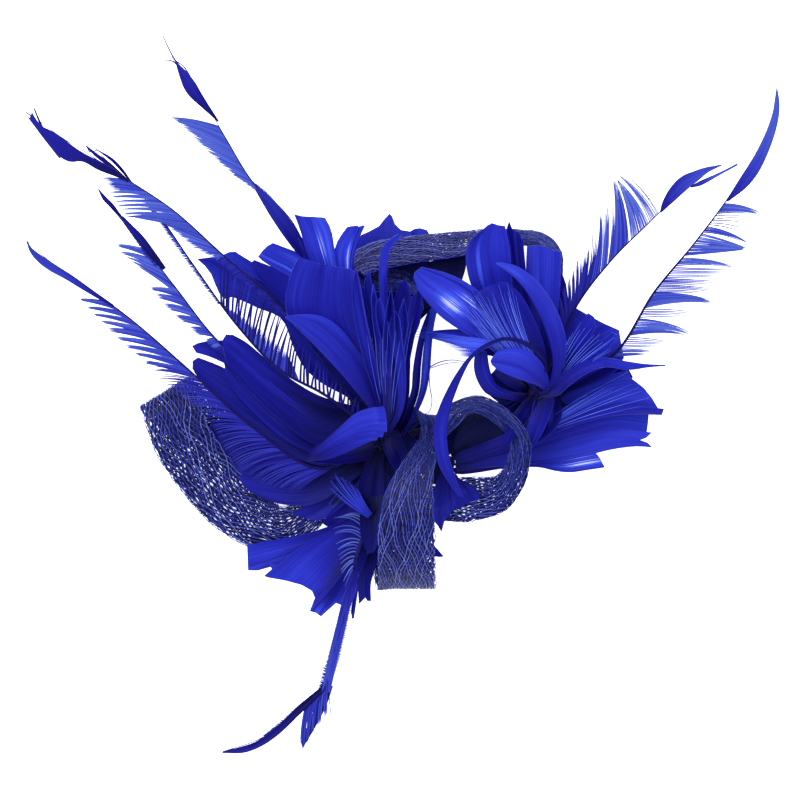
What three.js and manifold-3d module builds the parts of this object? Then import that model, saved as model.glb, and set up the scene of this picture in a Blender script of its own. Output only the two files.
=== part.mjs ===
import * as THREE from 'three';
import Module from 'manifold-3d';
import { mergeVertices } from 'three/addons/utils/BufferGeometryUtils.js';

// Feather fascinator lying on its back: millimetres, +Z towards the viewer, origin under the clip

// Driving dimensions
const GAP = 0.3;
const SHEET_CLEARANCE = 0.4;
const HEAD_CLEARANCE = 0.24;
const VANE_THICKNESS = 0.9;
const RACHIS_THICKNESS = 1.3;
const RACHIS_HALF_WIDTH = 0.7;
const QUILL_HALF_WIDTH = 0.8;
const RIBBON_THICKNESS = 1.0;
const CLIP = { length: 38, width: 9, jaw: 1.6, height: 4.2, hinge: 24 };
const PAD = { radius: 12, bottom: CLIP.height + GAP, thickness: 2 };
const PAD_TOP = PAD.bottom + PAD.thickness;
const STEM_RADIUS = 1.4;

// Colours of the dyed feather, the sinamay ribbon, the felt and the clip
const FEATHER = { color: 0x1e1ec8, roughness: 0.45, metalness: 0 };
const PLUME = { color: 0x2a2ad0, roughness: 0.5, metalness: 0 };
const SINAMAY = { color: 0x23287a, roughness: 0.6, metalness: 0 };
const FELT = { color: 0x14146a, roughness: 0.95, metalness: 0 };
const STEEL = { color: 0xb9bcc2, roughness: 0.3, metalness: 1 };

// Bound heads that hold the quills: axis position, radius, foot and top heights
const HEADS = {
  left: { x: 3, y: 6, radius: 3.2, foot: PAD_TOP + GAP, top: 20 },
  right: { x: 49, y: 20, radius: 3.2, foot: 9.6, top: 24 },
  lower: { x: -1, y: -15.5, radius: 2.6, foot: 5, top: 14 },
  fan: { x: 22, y: -1, radius: 2.2, foot: 1.4, top: 9 },
};

// Wire stems from the pad's top to the outer heads
const STEM_SEAT = PAD_TOP + 1.5 * GAP + STEM_RADIUS;
const STEMS = {
  right: [[8.6, 6.8, STEM_SEAT], [14, 8.6, STEM_SEAT], [30, 13, 8.6], [49, 20, 11.6]],
  lower: [[-2, -4, STEM_SEAT], [-1.6, -12, STEM_SEAT], [-1, -15.5, 8]],
  fan: [[9, -1.4, STEM_SEAT], [13, -1.2, STEM_SEAT], [22, -1, 6]],
};

// How finely a petal is divided, and how its cut tip steps in and out across the columns
const PETAL_STEPS = 6;
const WIDE_PETAL = 10;
const BARE_QUILL = 0.06;
const SWELL_POWER = 0.65;
const COLUMNS = {
  wide: { across: [1, 0.5, 0, -0.5, -1], jags: [0, -1, 0.6, -1.2, 0.2] },
  narrow: { across: [1, 0, -1], jags: [0, -1, 0.3] },
};

// Locks of barbs: how far a tip and a valley lean along the shaft, and how much the shaft thins
const TIP_LEAN = 0.8;
const VALLEY_LEAN = 0.5;
const SHAFT_TAPER = 0.6;
const SHAFT_THINNING = 0.4;
const LOCK_FOOT = RACHIS_HALF_WIDTH + 0.5;

// Petals: path from the head outwards, half widths, where the vane is fullest, tip shape, roll and cup
const PETALS = [
  { name: 'left_petal_face', head: 'left', z: 17, path: [[-9, 34, 31], [-15, 59, 42]],
    left: 10, right: 11, full: 0.66, tip: 0.72, power: 3, roll: [0, 10], cup: 3, jag: 1 },
  { name: 'left_petal_arc', head: 'left', z: 18.3, path: [[-9, 29, 35], [-26, 43.5, 46]],
    left: 5, right: 5, full: 0.5, tip: 0.1, power: 1.8, roll: [-10, -18], cup: 2, jag: 0 },
  { name: 'left_petal_top', head: 'left', z: 15, path: [[-11, 44, 25.5], [-19.5, 73, 35]],
    left: 5.5, right: 5, full: 0.75, tip: 0.8, power: 3, roll: [5, 20], cup: 2, jag: 1.2 },
  { name: 'left_petal_notch', head: 'left', z: 11.4, path: [[-17, 40, 15.5], [-35, 62, 21]],
    left: 7, right: 6.5, full: 0.75, tip: 0.6, power: 2.4, roll: [8, 14], cup: 2, jag: 1 },
  { name: 'left_petal_broad', head: 'left', z: 10.4, path: [[-23, 38, 12], [-50, 60, 15]],
    left: 8, right: 9.5, full: 0.65, tip: 0.5, power: 2.2, roll: [4, 4], cup: 2.5, jag: 1.2 },
  { name: 'left_petal_dark', head: 'left', z: 14.2, path: [[-22, 18, 17.6], [-45, 35, 22]],
    left: 12.5, right: 4.5, full: 0.5, tip: 0.5, power: 2.2, roll: [-6, -4], cup: 1.8, jag: 1 },
  { name: 'left_petal_spur', head: 'left', z: 11.8, path: [[-30, 20, 12.6], [-54.5, 33.5, 15]],
    left: 3, right: 3, full: 0.6, tip: 0.5, power: 2, roll: [0, 0], cup: 0.8, jag: 0.8 },
  { name: 'left_petal_low', head: 'left', z: 10, path: [[-30, 11, 10.2], [-55, 27, 12.6]],
    left: 9, right: 4, full: 0.45, tip: 0.35, power: 2, roll: [-4, 0], cup: 1.5, jag: 1 },
  { name: 'left_petal_base', head: 'left', z: 8.4, path: [[-19, -5, 8.4], [-41, -5, 8]],
    left: 6.5, right: 6, full: 0.5, tip: 0.45, power: 2, roll: [0, -6], cup: 1.5, jag: 0.6 },
  { name: 'left_petal_lip', head: 'left', z: 19, path: [[-9, 8, 28], [-5, 13, 37], [2.5, 14, 36]],
    left: 5, right: 5, full: 0.5, tip: 0.8, power: 3, roll: [0, 20], cup: 1, jag: 1.2 },
  { name: 'left_petal_strips', head: 'left', z: 16.2, path: [[-3, 44, 27], [-6, 70, 33]],
    left: 3.6, right: 3.4, full: 0.7, tip: 0.7, power: 2.4, roll: [-12, -16], cup: 1, jag: 1.4 },
  { name: 'left_petal_peak', head: 'left', z: 8.2, path: [[3, 26, 4], [3, 48, 2], [4.5, 73.5, 1]],
    left: 7.5, right: 7, full: 0.7, tip: 0.12, power: 1.7, roll: [0, 0], cup: 0.4, jag: 0 },
  { name: 'left_strip_curl', head: 'left', z: 18.6, path: [[4.4, 30, 33], [3.5, 44, 39], [2.5, 60, 41],
      [7, 67.5, 35]],
    left: 1.4, right: 1.4, full: 0.5, tip: 0.6, power: 2, roll: [0, 0], cup: 0, jag: 0 },
  { name: 'left_strip_tall', head: 'left', z: 19.4, path: [[0, 22, 34], [-1, 36, 43], [-5, 56, 51]],
    left: 4, right: 4, full: 0.45, tip: 0.15, power: 1.6, roll: [0, 10], cup: 1, jag: 0 },
  { name: 'left_strip_centre', head: 'left', z: 20.4, path: [[5.4, 20, 38], [3, 46, 57]],
    left: 3.6, right: 3.6, full: 0.45, tip: 0.15, power: 1.6, roll: [0, -8], cup: 1, jag: 0 },
  { name: 'left_strip_right', head: 'left', z: 16, path: [[9, 30, 30], [12, 51, 37]],
    left: 3.8, right: 3, full: 0.45, tip: 0.15, power: 1.6, roll: [0, 0], cup: 1, jag: 0 },
  { name: 'left_strip_pale', head: 'left', z: 12, path: [[15, 31, 19], [17.5, 47, 22]],
    left: 1.3, right: 1.3, full: 0.5, tip: 0.7, power: 2, roll: [0, 0], cup: 0, jag: 0 },
  { name: 'right_petal_pale', head: 'right', z: 20.5, path: [[31, 42, 34], [12.5, 55, 40]],
    left: 6, right: 6.5, full: 0.6, tip: 0.45, power: 2.6, roll: [0, -8], cup: 1.8, jag: 0.6 },
  { name: 'right_petal_upright', head: 'right', z: 18.4, path: [[38, 47, 28], [34, 70, 33]],
    left: 7.5, right: 7.5, full: 0.6, tip: 0.4, power: 2.2, roll: [0, -6], cup: 2.5, jag: 0.8 },
  { name: 'right_petal_spire', head: 'right', z: 16.2, path: [[44, 47, 23], [42, 71, 27]],
    left: 4, right: 4, full: 0.6, tip: 0.2, power: 1.8, roll: [0, 8], cup: 1, jag: 0 },
  { name: 'right_petal_square', head: 'right', z: 14.2, path: [[52, 44, 19], [51, 63.5, 24]],
    left: 5, right: 5.5, full: 0.7, tip: 0.95, power: 3, roll: [0, 4], cup: 0.8, jag: 0.4 },
  { name: 'right_petal_bright', head: 'right', z: 22.4, path: [[51, 41, 40], [37, 59.5, 44]],
    left: 3.8, right: 4, full: 0.45, tip: 0.12, power: 1.8, roll: [-6, -14], cup: 1.6, jag: 0 },
  { name: 'right_petal_barbs', head: 'right', z: 21.4, path: [[44, 38, 35], [38.5, 54, 37.5]],
    left: 4, right: 2.5, full: 0.5, tip: 0.15, power: 1.8, roll: [0, -8], cup: 1, jag: 0 },
  { name: 'right_petal_curl', head: 'right', z: 22.8, path: [[41, 35.5, 37], [31, 34, 41], [25.5, 24, 39],
      [21, 12, 35], [19.8, 0, 31], [24, -10, 24]],
    left: 1.8, right: 2, full: 0.5, tip: 0.2, power: 2, roll: [0, 0], cup: 0.3, jag: 0 },
  { name: 'right_petal_spray', head: 'right', z: 17.4, path: [[36, 35, 24], [15, 37, 29]],
    left: 4, right: 3, full: 0.6, tip: 0.1, power: 1.4, roll: [0, 0], cup: 0.6, jag: 0 },
  { name: 'right_petal_leaf', head: 'right', z: 23, path: [[46, 28.5, 34], [34.5, 29.5, 36]],
    left: 3.6, right: 3.6, full: 0.45, tip: 0.25, power: 2, roll: [0, 10], cup: 1.4, jag: 0 },
  { name: 'right_petal_inner', head: 'right', z: 18, path: [[36, 22, 28], [32, 33, 31]],
    left: 2, right: 2, full: 0.5, tip: 0.5, power: 2, roll: [0, 0], cup: 0.4, jag: 0 },
  { name: 'right_petal_shade', head: 'right', z: 13.4, path: [[42.5, 21, 15.4], [35.5, 25, 18]],
    left: 5, right: 7, full: 0.5, tip: 0.5, power: 2.4, roll: [0, 0], cup: 1, jag: 0 },
  { name: 'right_petal_under', head: 'fan', z: 3.4, path: [[31, 7, 2], [42, 13.5, 2]],
    left: 7, right: 4, full: 0.6, tip: 0.5, power: 2.4, roll: [0, 0], cup: 0.4, jag: 0.4 },
  { name: 'right_petal_far', head: 'right', z: 11.8, path: [[61, 33, 14.6], [72, 41.5, 18]],
    left: 7.5, right: 6.5, full: 0.7, tip: 0.75, power: 3, roll: [0, -6], cup: 2, jag: 0.6 },
  { name: 'right_petal_fold', head: 'right', z: 19, path: [[61, 33, 29], [68, 42, 34]],
    left: 3.2, right: 3.2, full: 0.5, tip: 0.2, power: 1.8, roll: [0, 24], cup: 1.6, jag: 0 },
  { name: 'right_petal_point', head: 'right', z: 20.4,
    path: [[58, 26.5, 28], [68, 29.5, 30], [87, 28.5, 25]],
    left: 2.4, right: 2.8, full: 0.45, tip: 0.08, power: 1.5, roll: [0, 0], cup: 0.8, jag: 0 },
  { name: 'right_petal_fan', head: 'fan', z: 7, path: [[43, 4.6, 4.4], [64.5, 16.5, 9.6], [83, 18, 14]],
    left: 9, right: 5, full: 0.75, tip: 0.55, power: 2.6, roll: [0, -6], cup: 1.2, jag: 1 },
  { name: 'right_petal_skirt', head: 'fan', z: 4.9, path: [[43, 1.6, 2.8], [64.5, 8, 4.6], [82, 8.5, 5]],
    left: 6, right: 6, full: 0.75, tip: 0.85, power: 3, roll: [0, 4], cup: 1, jag: 1.2 },
  { name: 'right_petal_tail', head: 'fan', z: 2.6, path: [[43, -0.7, 1], [55.5, -1.2, 1], [68.5, -2.4, 2.4]],
    left: 2.6, right: 2.4, full: 0.5, tip: 0.1, power: 1.5, roll: [0, 0], cup: 0.2, jag: 0 },
  { name: 'lower_petal_side', head: 'lower', z: 9.4, path: [[-22, -25, 8.4], [-38, -29, 7]],
    left: 4, right: 4.4, full: 0.7, tip: 0.9, power: 3, roll: [0, 0], cup: 0.8, jag: 1 },
  { name: 'lower_petal_broad', head: 'lower', z: 11.5, path: [[-16, -27.5, 12], [-28, -36.5, 9]],
    left: 7.5, right: 8, full: 0.7, tip: 0.8, power: 3, roll: [0, -4], cup: 1.6, jag: 0.8 },
  { name: 'lower_petal_square', head: 'lower', z: 7.8, path: [[-10.5, -31, 6.5], [-16.5, -45.5, 3]],
    left: 5, right: 4.5, full: 0.7, tip: 0.8, power: 3, roll: [0, 0], cup: 0.6, jag: 0.6 },
  { name: 'lower_petal_dark', head: 'lower', z: 6.2, path: [[-3.4, -31, 4], [-3.6, -42.5, 1.5]],
    left: 3, right: 3, full: 0.65, tip: 0.8, power: 3, roll: [0, 0], cup: 0.4, jag: 1 },
  { name: 'lower_petal_streak', head: 'lower', z: 13, path: [[-7.5, -11, 20], [-12.5, -5.5, 23]],
    left: 2.6, right: 2.6, full: 0.5, tip: 0.4, power: 2, roll: [0, 0], cup: 0.6, jag: 0 },
  { name: 'lower_petal_scrap', head: 'fan', z: 7.4, path: [[20.5, -9, 10], [21.5, -18, 9]],
    left: 5.5, right: 5.5, full: 0.5, tip: 0.55, power: 2.4, roll: [0, 0], cup: 1, jag: 1 },
  { name: 'lower_petal_spike', head: 'lower', z: 5.8, path: [[10, -24, 4.6], [20.6, -28.8, 4.6]],
    left: 2, right: 2, full: 0.6, tip: 0.1, power: 1.4, roll: [0, 0], cup: 0.3, jag: 0 },
];

// Ribbon loops: a row for each section, with centre, direction of the ribbon's width and its width there
const LOOPS = [
  { name: 'sinamay_loop_left', cells: 22, across: 3, rows: [
    { at: [-6.6, 3, 8], wide: [0, 1, 0], width: 3.6 },
    { at: [-13.4, 4.4, 7.8], wide: [0, 1, 0], width: 6 },
    { at: [-25, 6.5, 4], wide: [-0.2, 1, 0], width: 13 },
    { at: [-42, 9, 3], wide: [-0.1, 1, 0], width: 16 },
    { at: [-54, 12, 2.2], wide: [0.5, 1, 0], width: 18 },
    { at: [-61.5, 18, 4], wide: [0.86, 0.5, 0], width: 18 },
    { at: [-63.5, 20.5, 8], wide: [0.86, 0.5, 0], width: 18 },
    { at: [-62, 17, 11.5], wide: [0.9, 0.45, 0.1], width: 18 },
    { at: [-58.5, 7, 10.5], wide: [1, 0.4, 0.15], width: 18.5 },
    { at: [-50.5, -5.5, 7.6], wide: [0.8, 0.6, 0.2], width: 18.5 },
    { at: [-40.5, -15.5, 5], wide: [0.6, 0.8, 0.15], width: 18 },
    { at: [-29, -21, 3], wide: [0.2, 1, 0.1], width: 15 },
    { at: [-15, -13, 6], wide: [-0.5, 1, 0], width: 7 },
    { at: [-8.6, -6.4, 8.2], wide: [-0.6, 1, 0], width: 4 }] },
  { name: 'sinamay_loop_top', cells: 28, across: 3, rows: [
    { at: [-5, 9.6, 7.6], wide: [1, 0.3, 0], width: 4 },
    { at: [-4.6, 20, 6.8], wide: [1, 0, 0.1], width: 6 },
    { at: [1, 33, 8.6], wide: [1, -0.2, 0.7], width: 9 },
    { at: [9.5, 43, 12.5], wide: [0.4, -0.4, 1], width: 13 },
    { at: [13, 49, 14], wide: [0.2, -0.5, 1], width: 14 },
    { at: [9, 53.5, 14], wide: [0, -0.5, 1], width: 15 },
    { at: [0, 54, 14], wide: [0, -0.5, 1], width: 16 },
    { at: [-6.5, 57, 14], wide: [0.2, -0.5, 1], width: 17 },
    { at: [-1, 61, 14], wide: [0, -0.6, 1], width: 18 },
    { at: [9, 63, 14], wide: [0, -0.55, 1], width: 18 },
    { at: [24, 65, 13], wide: [0, -0.5, 1], width: 18 },
    { at: [39, 67, 11], wide: [0, -0.36, 1], width: 17 },
    { at: [50, 66, 9.5], wide: [-0.2, -0.3, 1], width: 15 },
    { at: [54, 61.5, 8], wide: [-0.5, -0.1, 1], width: 12 },
    { at: [53, 45, 7], wide: [-0.5, 0, 1], width: 9 },
    { at: [51, 25, 8.6], wide: [1, 0, 0.3], width: 4 }] },
  { name: 'sinamay_ring_right', cells: 20, across: 2, rows: [
    { at: [10.5, -6.4, 8], wide: [0.4, 1, 0], width: 4 },
    { at: [17, -12, 6], wide: [0.3, 1, 0.1], width: 9 },
    { at: [28, -12, 7], wide: [0, 1, -0.7], width: 17 },
    { at: [38, -10, 9], wide: [-0.3, 0.7, -1], width: 17.4 },
    { at: [43, -2, 13], wide: [-0.4, 0.1, -1], width: 17.4 },
    { at: [43.4, 6, 16], wide: [-0.25, -0.2, -1], width: 17.4 },
    { at: [38, 13, 18.5], wide: [-0.15, -0.3, -1], width: 17.4 },
    { at: [31, 16.6, 19.5], wide: [0, -0.35, -1], width: 17 },
    { at: [24, 14.6, 17.6], wide: [0.3, -0.3, -1], width: 13 },
    { at: [20.6, 10, 13], wide: [0.9, -0.4, -0.3], width: 6 },
    { at: [16, 5.2, 11], wide: [0.6, -1, 0], width: 4 },
    { at: [11.6, 3.2, 9], wide: [0.3, -1, 0], width: 3.6 }] },
  { name: 'sinamay_loop_centre', cells: 22, across: 3, rows: [
    { at: [8.6, 9.6, 9.6], wide: [0.6, -1, 0], width: 4 },
    { at: [13, 13.6, 13], wide: [0.8, -0.6, 0.2], width: 6 },
    { at: [16.4, 12, 18], wide: [1, 0, 0.1], width: 6 },
    { at: [16.4, 6, 23], wide: [1, 0.1, 0], width: 6.4 },
    { at: [13, -2, 26], wide: [1, 0.1, 0], width: 10 },
    { at: [10.4, -11, 27], wide: [1, 0.05, 0], width: 15 },
    { at: [9.6, -21, 25], wide: [1, 0, 0], width: 17.3 },
    { at: [9.6, -31, 18], wide: [1, -0.02, 0], width: 17.5 },
    { at: [9.8, -37.5, 9.5], wide: [1, -0.03, 0], width: 17.5 },
    { at: [9.4, -38.6, 3.4], wide: [1, 0, 0], width: 17.5 },
    { at: [8, -34, 1.1], wide: [1, 0, 0], width: 17.5 },
    { at: [6.4, -24, 2.2], wide: [1, 0, 0], width: 12 },
    { at: [5, -14.6, 7], wide: [1, 0, 0], width: 6 },
    { at: [4, -9, 8], wide: [1, 0, 0], width: 4 }] },
];

// Plumes: shaft route, then a row for each stretch of barbs with half widths, notch depth and sweep
const PLUMES = [
  { name: 'plume_left_top',
    path: [[-1, 10.6, 12.6], [-11, 38, 17.5], [-21, 64, 24], [-26, 73, 28], [-36, 82.5, 33],
      [-45.3, 97.5, 38], [-52, 104, 41], [-57, 113, 44], [-63.5, 126, 47]], locks: 12,
    vane: [{ t: 0, left: 1, right: 1, notch: 0 }, { t: 0.4, left: 2, right: 2, notch: 0.4 },
      { t: 0.62, left: 7, right: 1.5, notch: 0.5 }, { t: 0.74, left: 8, right: 1, notch: 0.4 },
      { t: 0.8, left: 1, right: 1, notch: 0 }, { t: 0.88, left: 2.6, right: 3, notch: 0 },
      { t: 0.96, left: 1.6, right: 1.6, notch: 0 }, { t: 1, left: 0.4, right: 0.4, notch: 0 }] },
  { name: 'plume_left_upper', path: [[-1.4, 9.8, 14.6], [-28, 46, 25], [-45.6, 61.5, 33], [-60.6, 75, 38.5],
      [-74, 84, 42], [-84, 90.5, 44], [-95, 97.5, 46], [-104.5, 106, 48]], locks: 13,
    vane: [{ t: 0, left: 1, right: 1, notch: 0 }, { t: 0.45, left: 3, right: 1, notch: 0.5 },
      { t: 0.58, left: 8, right: 1.2, notch: 0.6 }, { t: 0.74, left: 7, right: 1.2, notch: 0.6 },
      { t: 0.8, left: 1, right: 1, notch: 0 }, { t: 0.9, left: 2.6, right: 3.2, notch: 0 },
      { t: 0.96, left: 2, right: 2, notch: 0 }, { t: 1, left: 0.4, right: 0.4, notch: 0 }] },
  { name: 'plume_left_inner',
    path: [[-0.6, 8.6, 17.4], [-15, 19.5, 21.5], [-28.5, 27, 25], [-41.5, 40.5, 27],
      [-54.5, 58.5, 29], [-65.6, 74.4, 33], [-79.5, 89, 38], [-86, 94, 40]], locks: 15,
    vane: [{ t: 0, left: 1, right: 4, notch: 0.6 }, { t: 0.2, left: 1, right: 14, notch: 0.8 },
      { t: 0.42, left: 1, right: 15, notch: 0.8 }, { t: 0.55, left: 1.6, right: 8, notch: 0.6 },
      { t: 0.75, left: 3, right: 2, notch: 0.4 }, { t: 0.9, left: 1.4, right: 1.4, notch: 0 },
      { t: 1, left: 0.4, right: 0.4, notch: 0 }] },
  { name: 'plume_left_middle',
    path: [[-0.6, 7.8, 12.8], [-30, 22, 15.4], [-46.8, 35.4, 19], [-59.7, 51.6, 24],
      [-69.6, 64.5, 27], [-75.6, 71.4, 29], [-83, 81, 31]], locks: 13,
    vane: [{ t: 0, left: 1, right: 1, notch: 0 }, { t: 0.4, left: 4, right: 1.5, notch: 0.6 },
      { t: 0.6, left: 5.5, right: 1.5, notch: 0.6 }, { t: 0.78, left: 3, right: 1.4, notch: 0.4 },
      { t: 0.84, left: 1, right: 1, notch: 0 }, { t: 0.93, left: 1.8, right: 1.8, notch: 0 },
      { t: 1, left: 0.4, right: 0.4, notch: 0 }] },
  { name: 'plume_left_long',
    path: [[-0.4, 4.4, 12], [-16.5, -2.6, 13.6], [-37.5, 10.5, 15.6], [-55.8, 27, 19],
      [-72.6, 41.7, 23], [-86.4, 52, 26], [-98, 60, 29], [-104.5, 66, 31]], locks: 16,
    vane: [{ t: 0, left: 2, right: 2, notch: 0.3 }, { t: 0.25, left: 12, right: 2, notch: 0.5 },
      { t: 0.42, left: 10, right: 5, notch: 0.5 }, { t: 0.62, left: 7, right: 4, notch: 0.5 },
      { t: 0.8, left: 3.5, right: 2, notch: 0.4 }, { t: 0.9, left: 1.6, right: 1.6, notch: 0 },
      { t: 1, left: 0.4, right: 0.4, notch: 0 }] },
  { name: 'plume_right_upper', path: [[51.5, 26, 17.4], [60.3, 45.9, 22], [71, 60, 28], [81, 70, 33],
      [88, 76.8, 36], [95, 82.6, 38], [104, 88, 39]], locks: 12,
    vane: [{ t: 0, left: 1, right: 1, notch: 0 }, { t: 0.3, left: 8, right: 1, notch: 0.6 },
      { t: 0.5, left: 13, right: 1, notch: 0.7 }, { t: 0.68, left: 15, right: 1.5, notch: 0.6 },
      { t: 0.74, left: 1, right: 1, notch: 0 }, { t: 0.87, left: 3, right: 3.4, notch: 0 },
      { t: 1, left: 0.4, right: 0.4, notch: 0 }] },
  { name: 'plume_right_long', path: [[53, 23, 15], [71, 31, 19], [84, 50.7, 25], [95.4, 64.5, 30],
      [105.3, 77.7, 34], [114.6, 92, 38], [118.5, 100.5, 40], [120.5, 111.5, 43]], locks: 16,
    vane: [{ t: 0, left: 1, right: 5, notch: 0.6 }, { t: 0.3, left: 1, right: 9, notch: 0.6 },
      { t: 0.5, left: 1.4, right: 11, notch: 0.7 }, { t: 0.66, left: 1.6, right: 9, notch: 0.6 },
      { t: 0.72, left: 1.6, right: 3.4, notch: 0 }, { t: 0.88, left: 1.4, right: 3, notch: 0 },
      { t: 1, left: 0.4, right: 0.4, notch: 0 }] },
  { name: 'plume_bottom', path: [[-1.8, -18.5, 13.2], [-5.7, -29, 15], [-7.2, -38.7, 11.5], [-12, -56.4, 8],
      [-16.2, -68.4, 5.5], [-24, -77, 4], [-35.4, -84, 3], [-46, -87.6, 2.4]], locks: 15,
    vane: [{ t: 0, left: 1, right: 3, notch: 0.4 }, { t: 0.2, left: 1, right: 6, notch: 0.6 },
      { t: 0.36, left: 1, right: 3, notch: 0.5 }, { t: 0.5, left: 1.4, right: 1.4, notch: 0.3 },
      { t: 0.66, left: 8, right: 1.4, notch: 0.5 }, { t: 0.76, left: 3, right: 1.6, notch: 0.2 },
      { t: 0.9, left: 1.4, right: 1.4, notch: 0 }, { t: 1, left: 0.4, right: 0.4, notch: 0 }] },
];

const wasm = await Module();
wasm.setup();
const UP = new THREE.Vector3(0, 0, 1);
const vector = (list) => new THREE.Vector3(...list);
const route = (points) => new THREE.CatmullRomCurve3(points, false, 'centripetal');

// Left and face directions of a sheet that runs along a tangent, turned by a roll angle in degrees
function sheetFrame(tangent, roll) {
  const left = new THREE.Vector3().crossVectors(UP, tangent).normalize();
  const face = new THREE.Vector3().crossVectors(tangent, left).normalize();
  const turn = THREE.MathUtils.degToRad(roll);
  return { left: left.applyAxisAngle(tangent, turn), face: face.applyAxisAngle(tangent, turn) };
}

// Value of a column of a table at t, between the rows on either side
function columnAt(rows, column, t) {
  const last = rows.findIndex((row) => row.t >= t);
  if (last <= 0) return rows[0][column];
  const [low, high] = [rows[last - 1], rows[last]];
  return THREE.MathUtils.mapLinear(t, low.t, high.t, low[column], high[column]);
}

// Unit normals of an open surface, summed from its triangles
function surfaceNormals(points, triangles) {
  const normals = points.map(() => new THREE.Vector3());
  for (const [a, b, c] of triangles) {
    const edge = points[b].clone().sub(points[a]);
    const face = edge.cross(points[c].clone().sub(points[a]));
    for (const corner of [a, b, c]) normals[corner].add(face);
  }
  return normals.map((normal) => normal.normalize());
}

// Edges that only one triangle uses, in that triangle's direction
function borderEdges(triangles) {
  const edges = new Map();
  for (const [a, b, c] of triangles) {
    for (const [from, to] of [[a, b], [b, c], [c, a]]) {
      if (!edges.delete(`${to}_${from}`)) edges.set(`${from}_${to}`, [from, to]);
    }
  }
  return [...edges.values()];
}

// Closed wall on both sides of an open surface; grow widens it all round for a clearance cut
function thicken({ points, triangles, thickness }, grow = 0) {
  const normals = surfaceNormals(points, triangles);
  const border = borderEdges(triangles);
  const outward = points.map(() => new THREE.Vector3());
  for (const [from, to] of border) {
    const along = points[to].clone().sub(points[from]).normalize();
    for (const end of [from, to]) outward[end].add(along.clone().cross(normals[end]));
  }
  const position = [];
  for (const side of [1, -1]) {
    points.forEach((point, i) => {
      const offset = side * (thickness[i] / 2 + grow);
      const moved = point.clone().addScaledVector(normals[i], offset);
      moved.addScaledVector(outward[i].normalize(), grow);
      position.push(moved.x, moved.y, moved.z);
    });
  }
  const under = points.length;
  const index = [];
  for (const [a, b, c] of triangles) index.push(a, b, c, a + under, c + under, b + under);
  for (const [a, b] of border) index.push(b, a, a + under, b, a + under, b + under);
  return { position, index };
}

// Relative width of a petal's vane: a bare quill, a swelling and a tip
function vaneProfile(t, { full, tip, power }) {
  if (t <= BARE_QUILL) return 0;
  if (t < full) return Math.sin((t - BARE_QUILL) / (full - BARE_QUILL) * Math.PI / 2) ** SWELL_POWER;
  return 1 - (1 - tip) * ((t - full) / (1 - full)) ** power;
}

// Where a quill leaves its bound head, towards the next point of its path
function rootOf({ head, z, path }) {
  const { x, y, radius } = HEADS[head];
  const away = new THREE.Vector2(path[0][0] - x, path[0][1] - y).normalize();
  return new THREE.Vector3(x, y, z).add(new THREE.Vector3(away.x, away.y, 0).multiplyScalar(radius + GAP));
}

// A feather petal as an open surface: a bare quill, a vane with its cup and roll, and a cut tip
function petalSurface(petal) {
  const spine = route([rootOf(petal), ...petal.path.map(vector)]);
  const { across: columns, jags } = petal.left + petal.right > WIDE_PETAL ? COLUMNS.wide : COLUMNS.narrow;
  const points = [];
  const thickness = [];
  for (let i = 0; i <= PETAL_STEPS; i++) {
    const t = i / PETAL_STEPS;
    const tangent = spine.getTangentAt(t);
    const { left, face } = sheetFrame(tangent, THREE.MathUtils.lerp(...petal.roll, t));
    const width = vaneProfile(t, petal);
    columns.forEach((across, column) => {
      const half = Math.max(QUILL_HALF_WIDTH, width * (across > 0 ? petal.left : petal.right));
      const point = spine.getPointAt(t).addScaledVector(left, across * half);
      point.addScaledVector(face, petal.cup * width * across * across);
      if (i === PETAL_STEPS) point.addScaledVector(tangent, petal.jag * jags[column]);
      points.push(point);
      thickness.push(VANE_THICKNESS);
    });
  }
  return { points, triangles: gridTriangles(PETAL_STEPS, columns.length), thickness };
}

// Triangles of a grid of rows of points, facing the side that the rows' left hand leads to
function gridTriangles(steps, columns) {
  const triangles = [];
  for (let i = 0; i < steps; i++) {
    for (let j = 0; j + 1 < columns; j++) {
      const a = i * columns + j;
      const b = a + columns;
      triangles.push([a, a + 1, b], [a + 1, b + 1, b]);
    }
  }
  return triangles;
}

// A ribbon loop as an open surface along its rows
function loopSurface({ rows, cells, across }) {
  const centre = route(rows.map((row) => vector(row.at)));
  const points = [];
  const thickness = [];
  for (let i = 0; i <= cells; i++) {
    const t = i / cells;
    const place = Math.min(t * (rows.length - 1), rows.length - 1.0001);
    const [low, share] = [Math.floor(place), place % 1];
    const wide = vector(rows[low].wide).normalize().lerp(vector(rows[low + 1].wide).normalize(), share);
    const width = THREE.MathUtils.lerp(rows[low].width, rows[low + 1].width, share);
    wide.addScaledVector(centre.getTangent(t), -wide.dot(centre.getTangent(t))).normalize();
    for (let j = 0; j <= across; j++) {
      points.push(centre.getPoint(t).addScaledVector(wide, width * (0.5 - j / across)));
      thickness.push(RIBBON_THICKNESS);
    }
  }
  return { points, triangles: gridTriangles(cells, across + 1), thickness };
}

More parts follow.
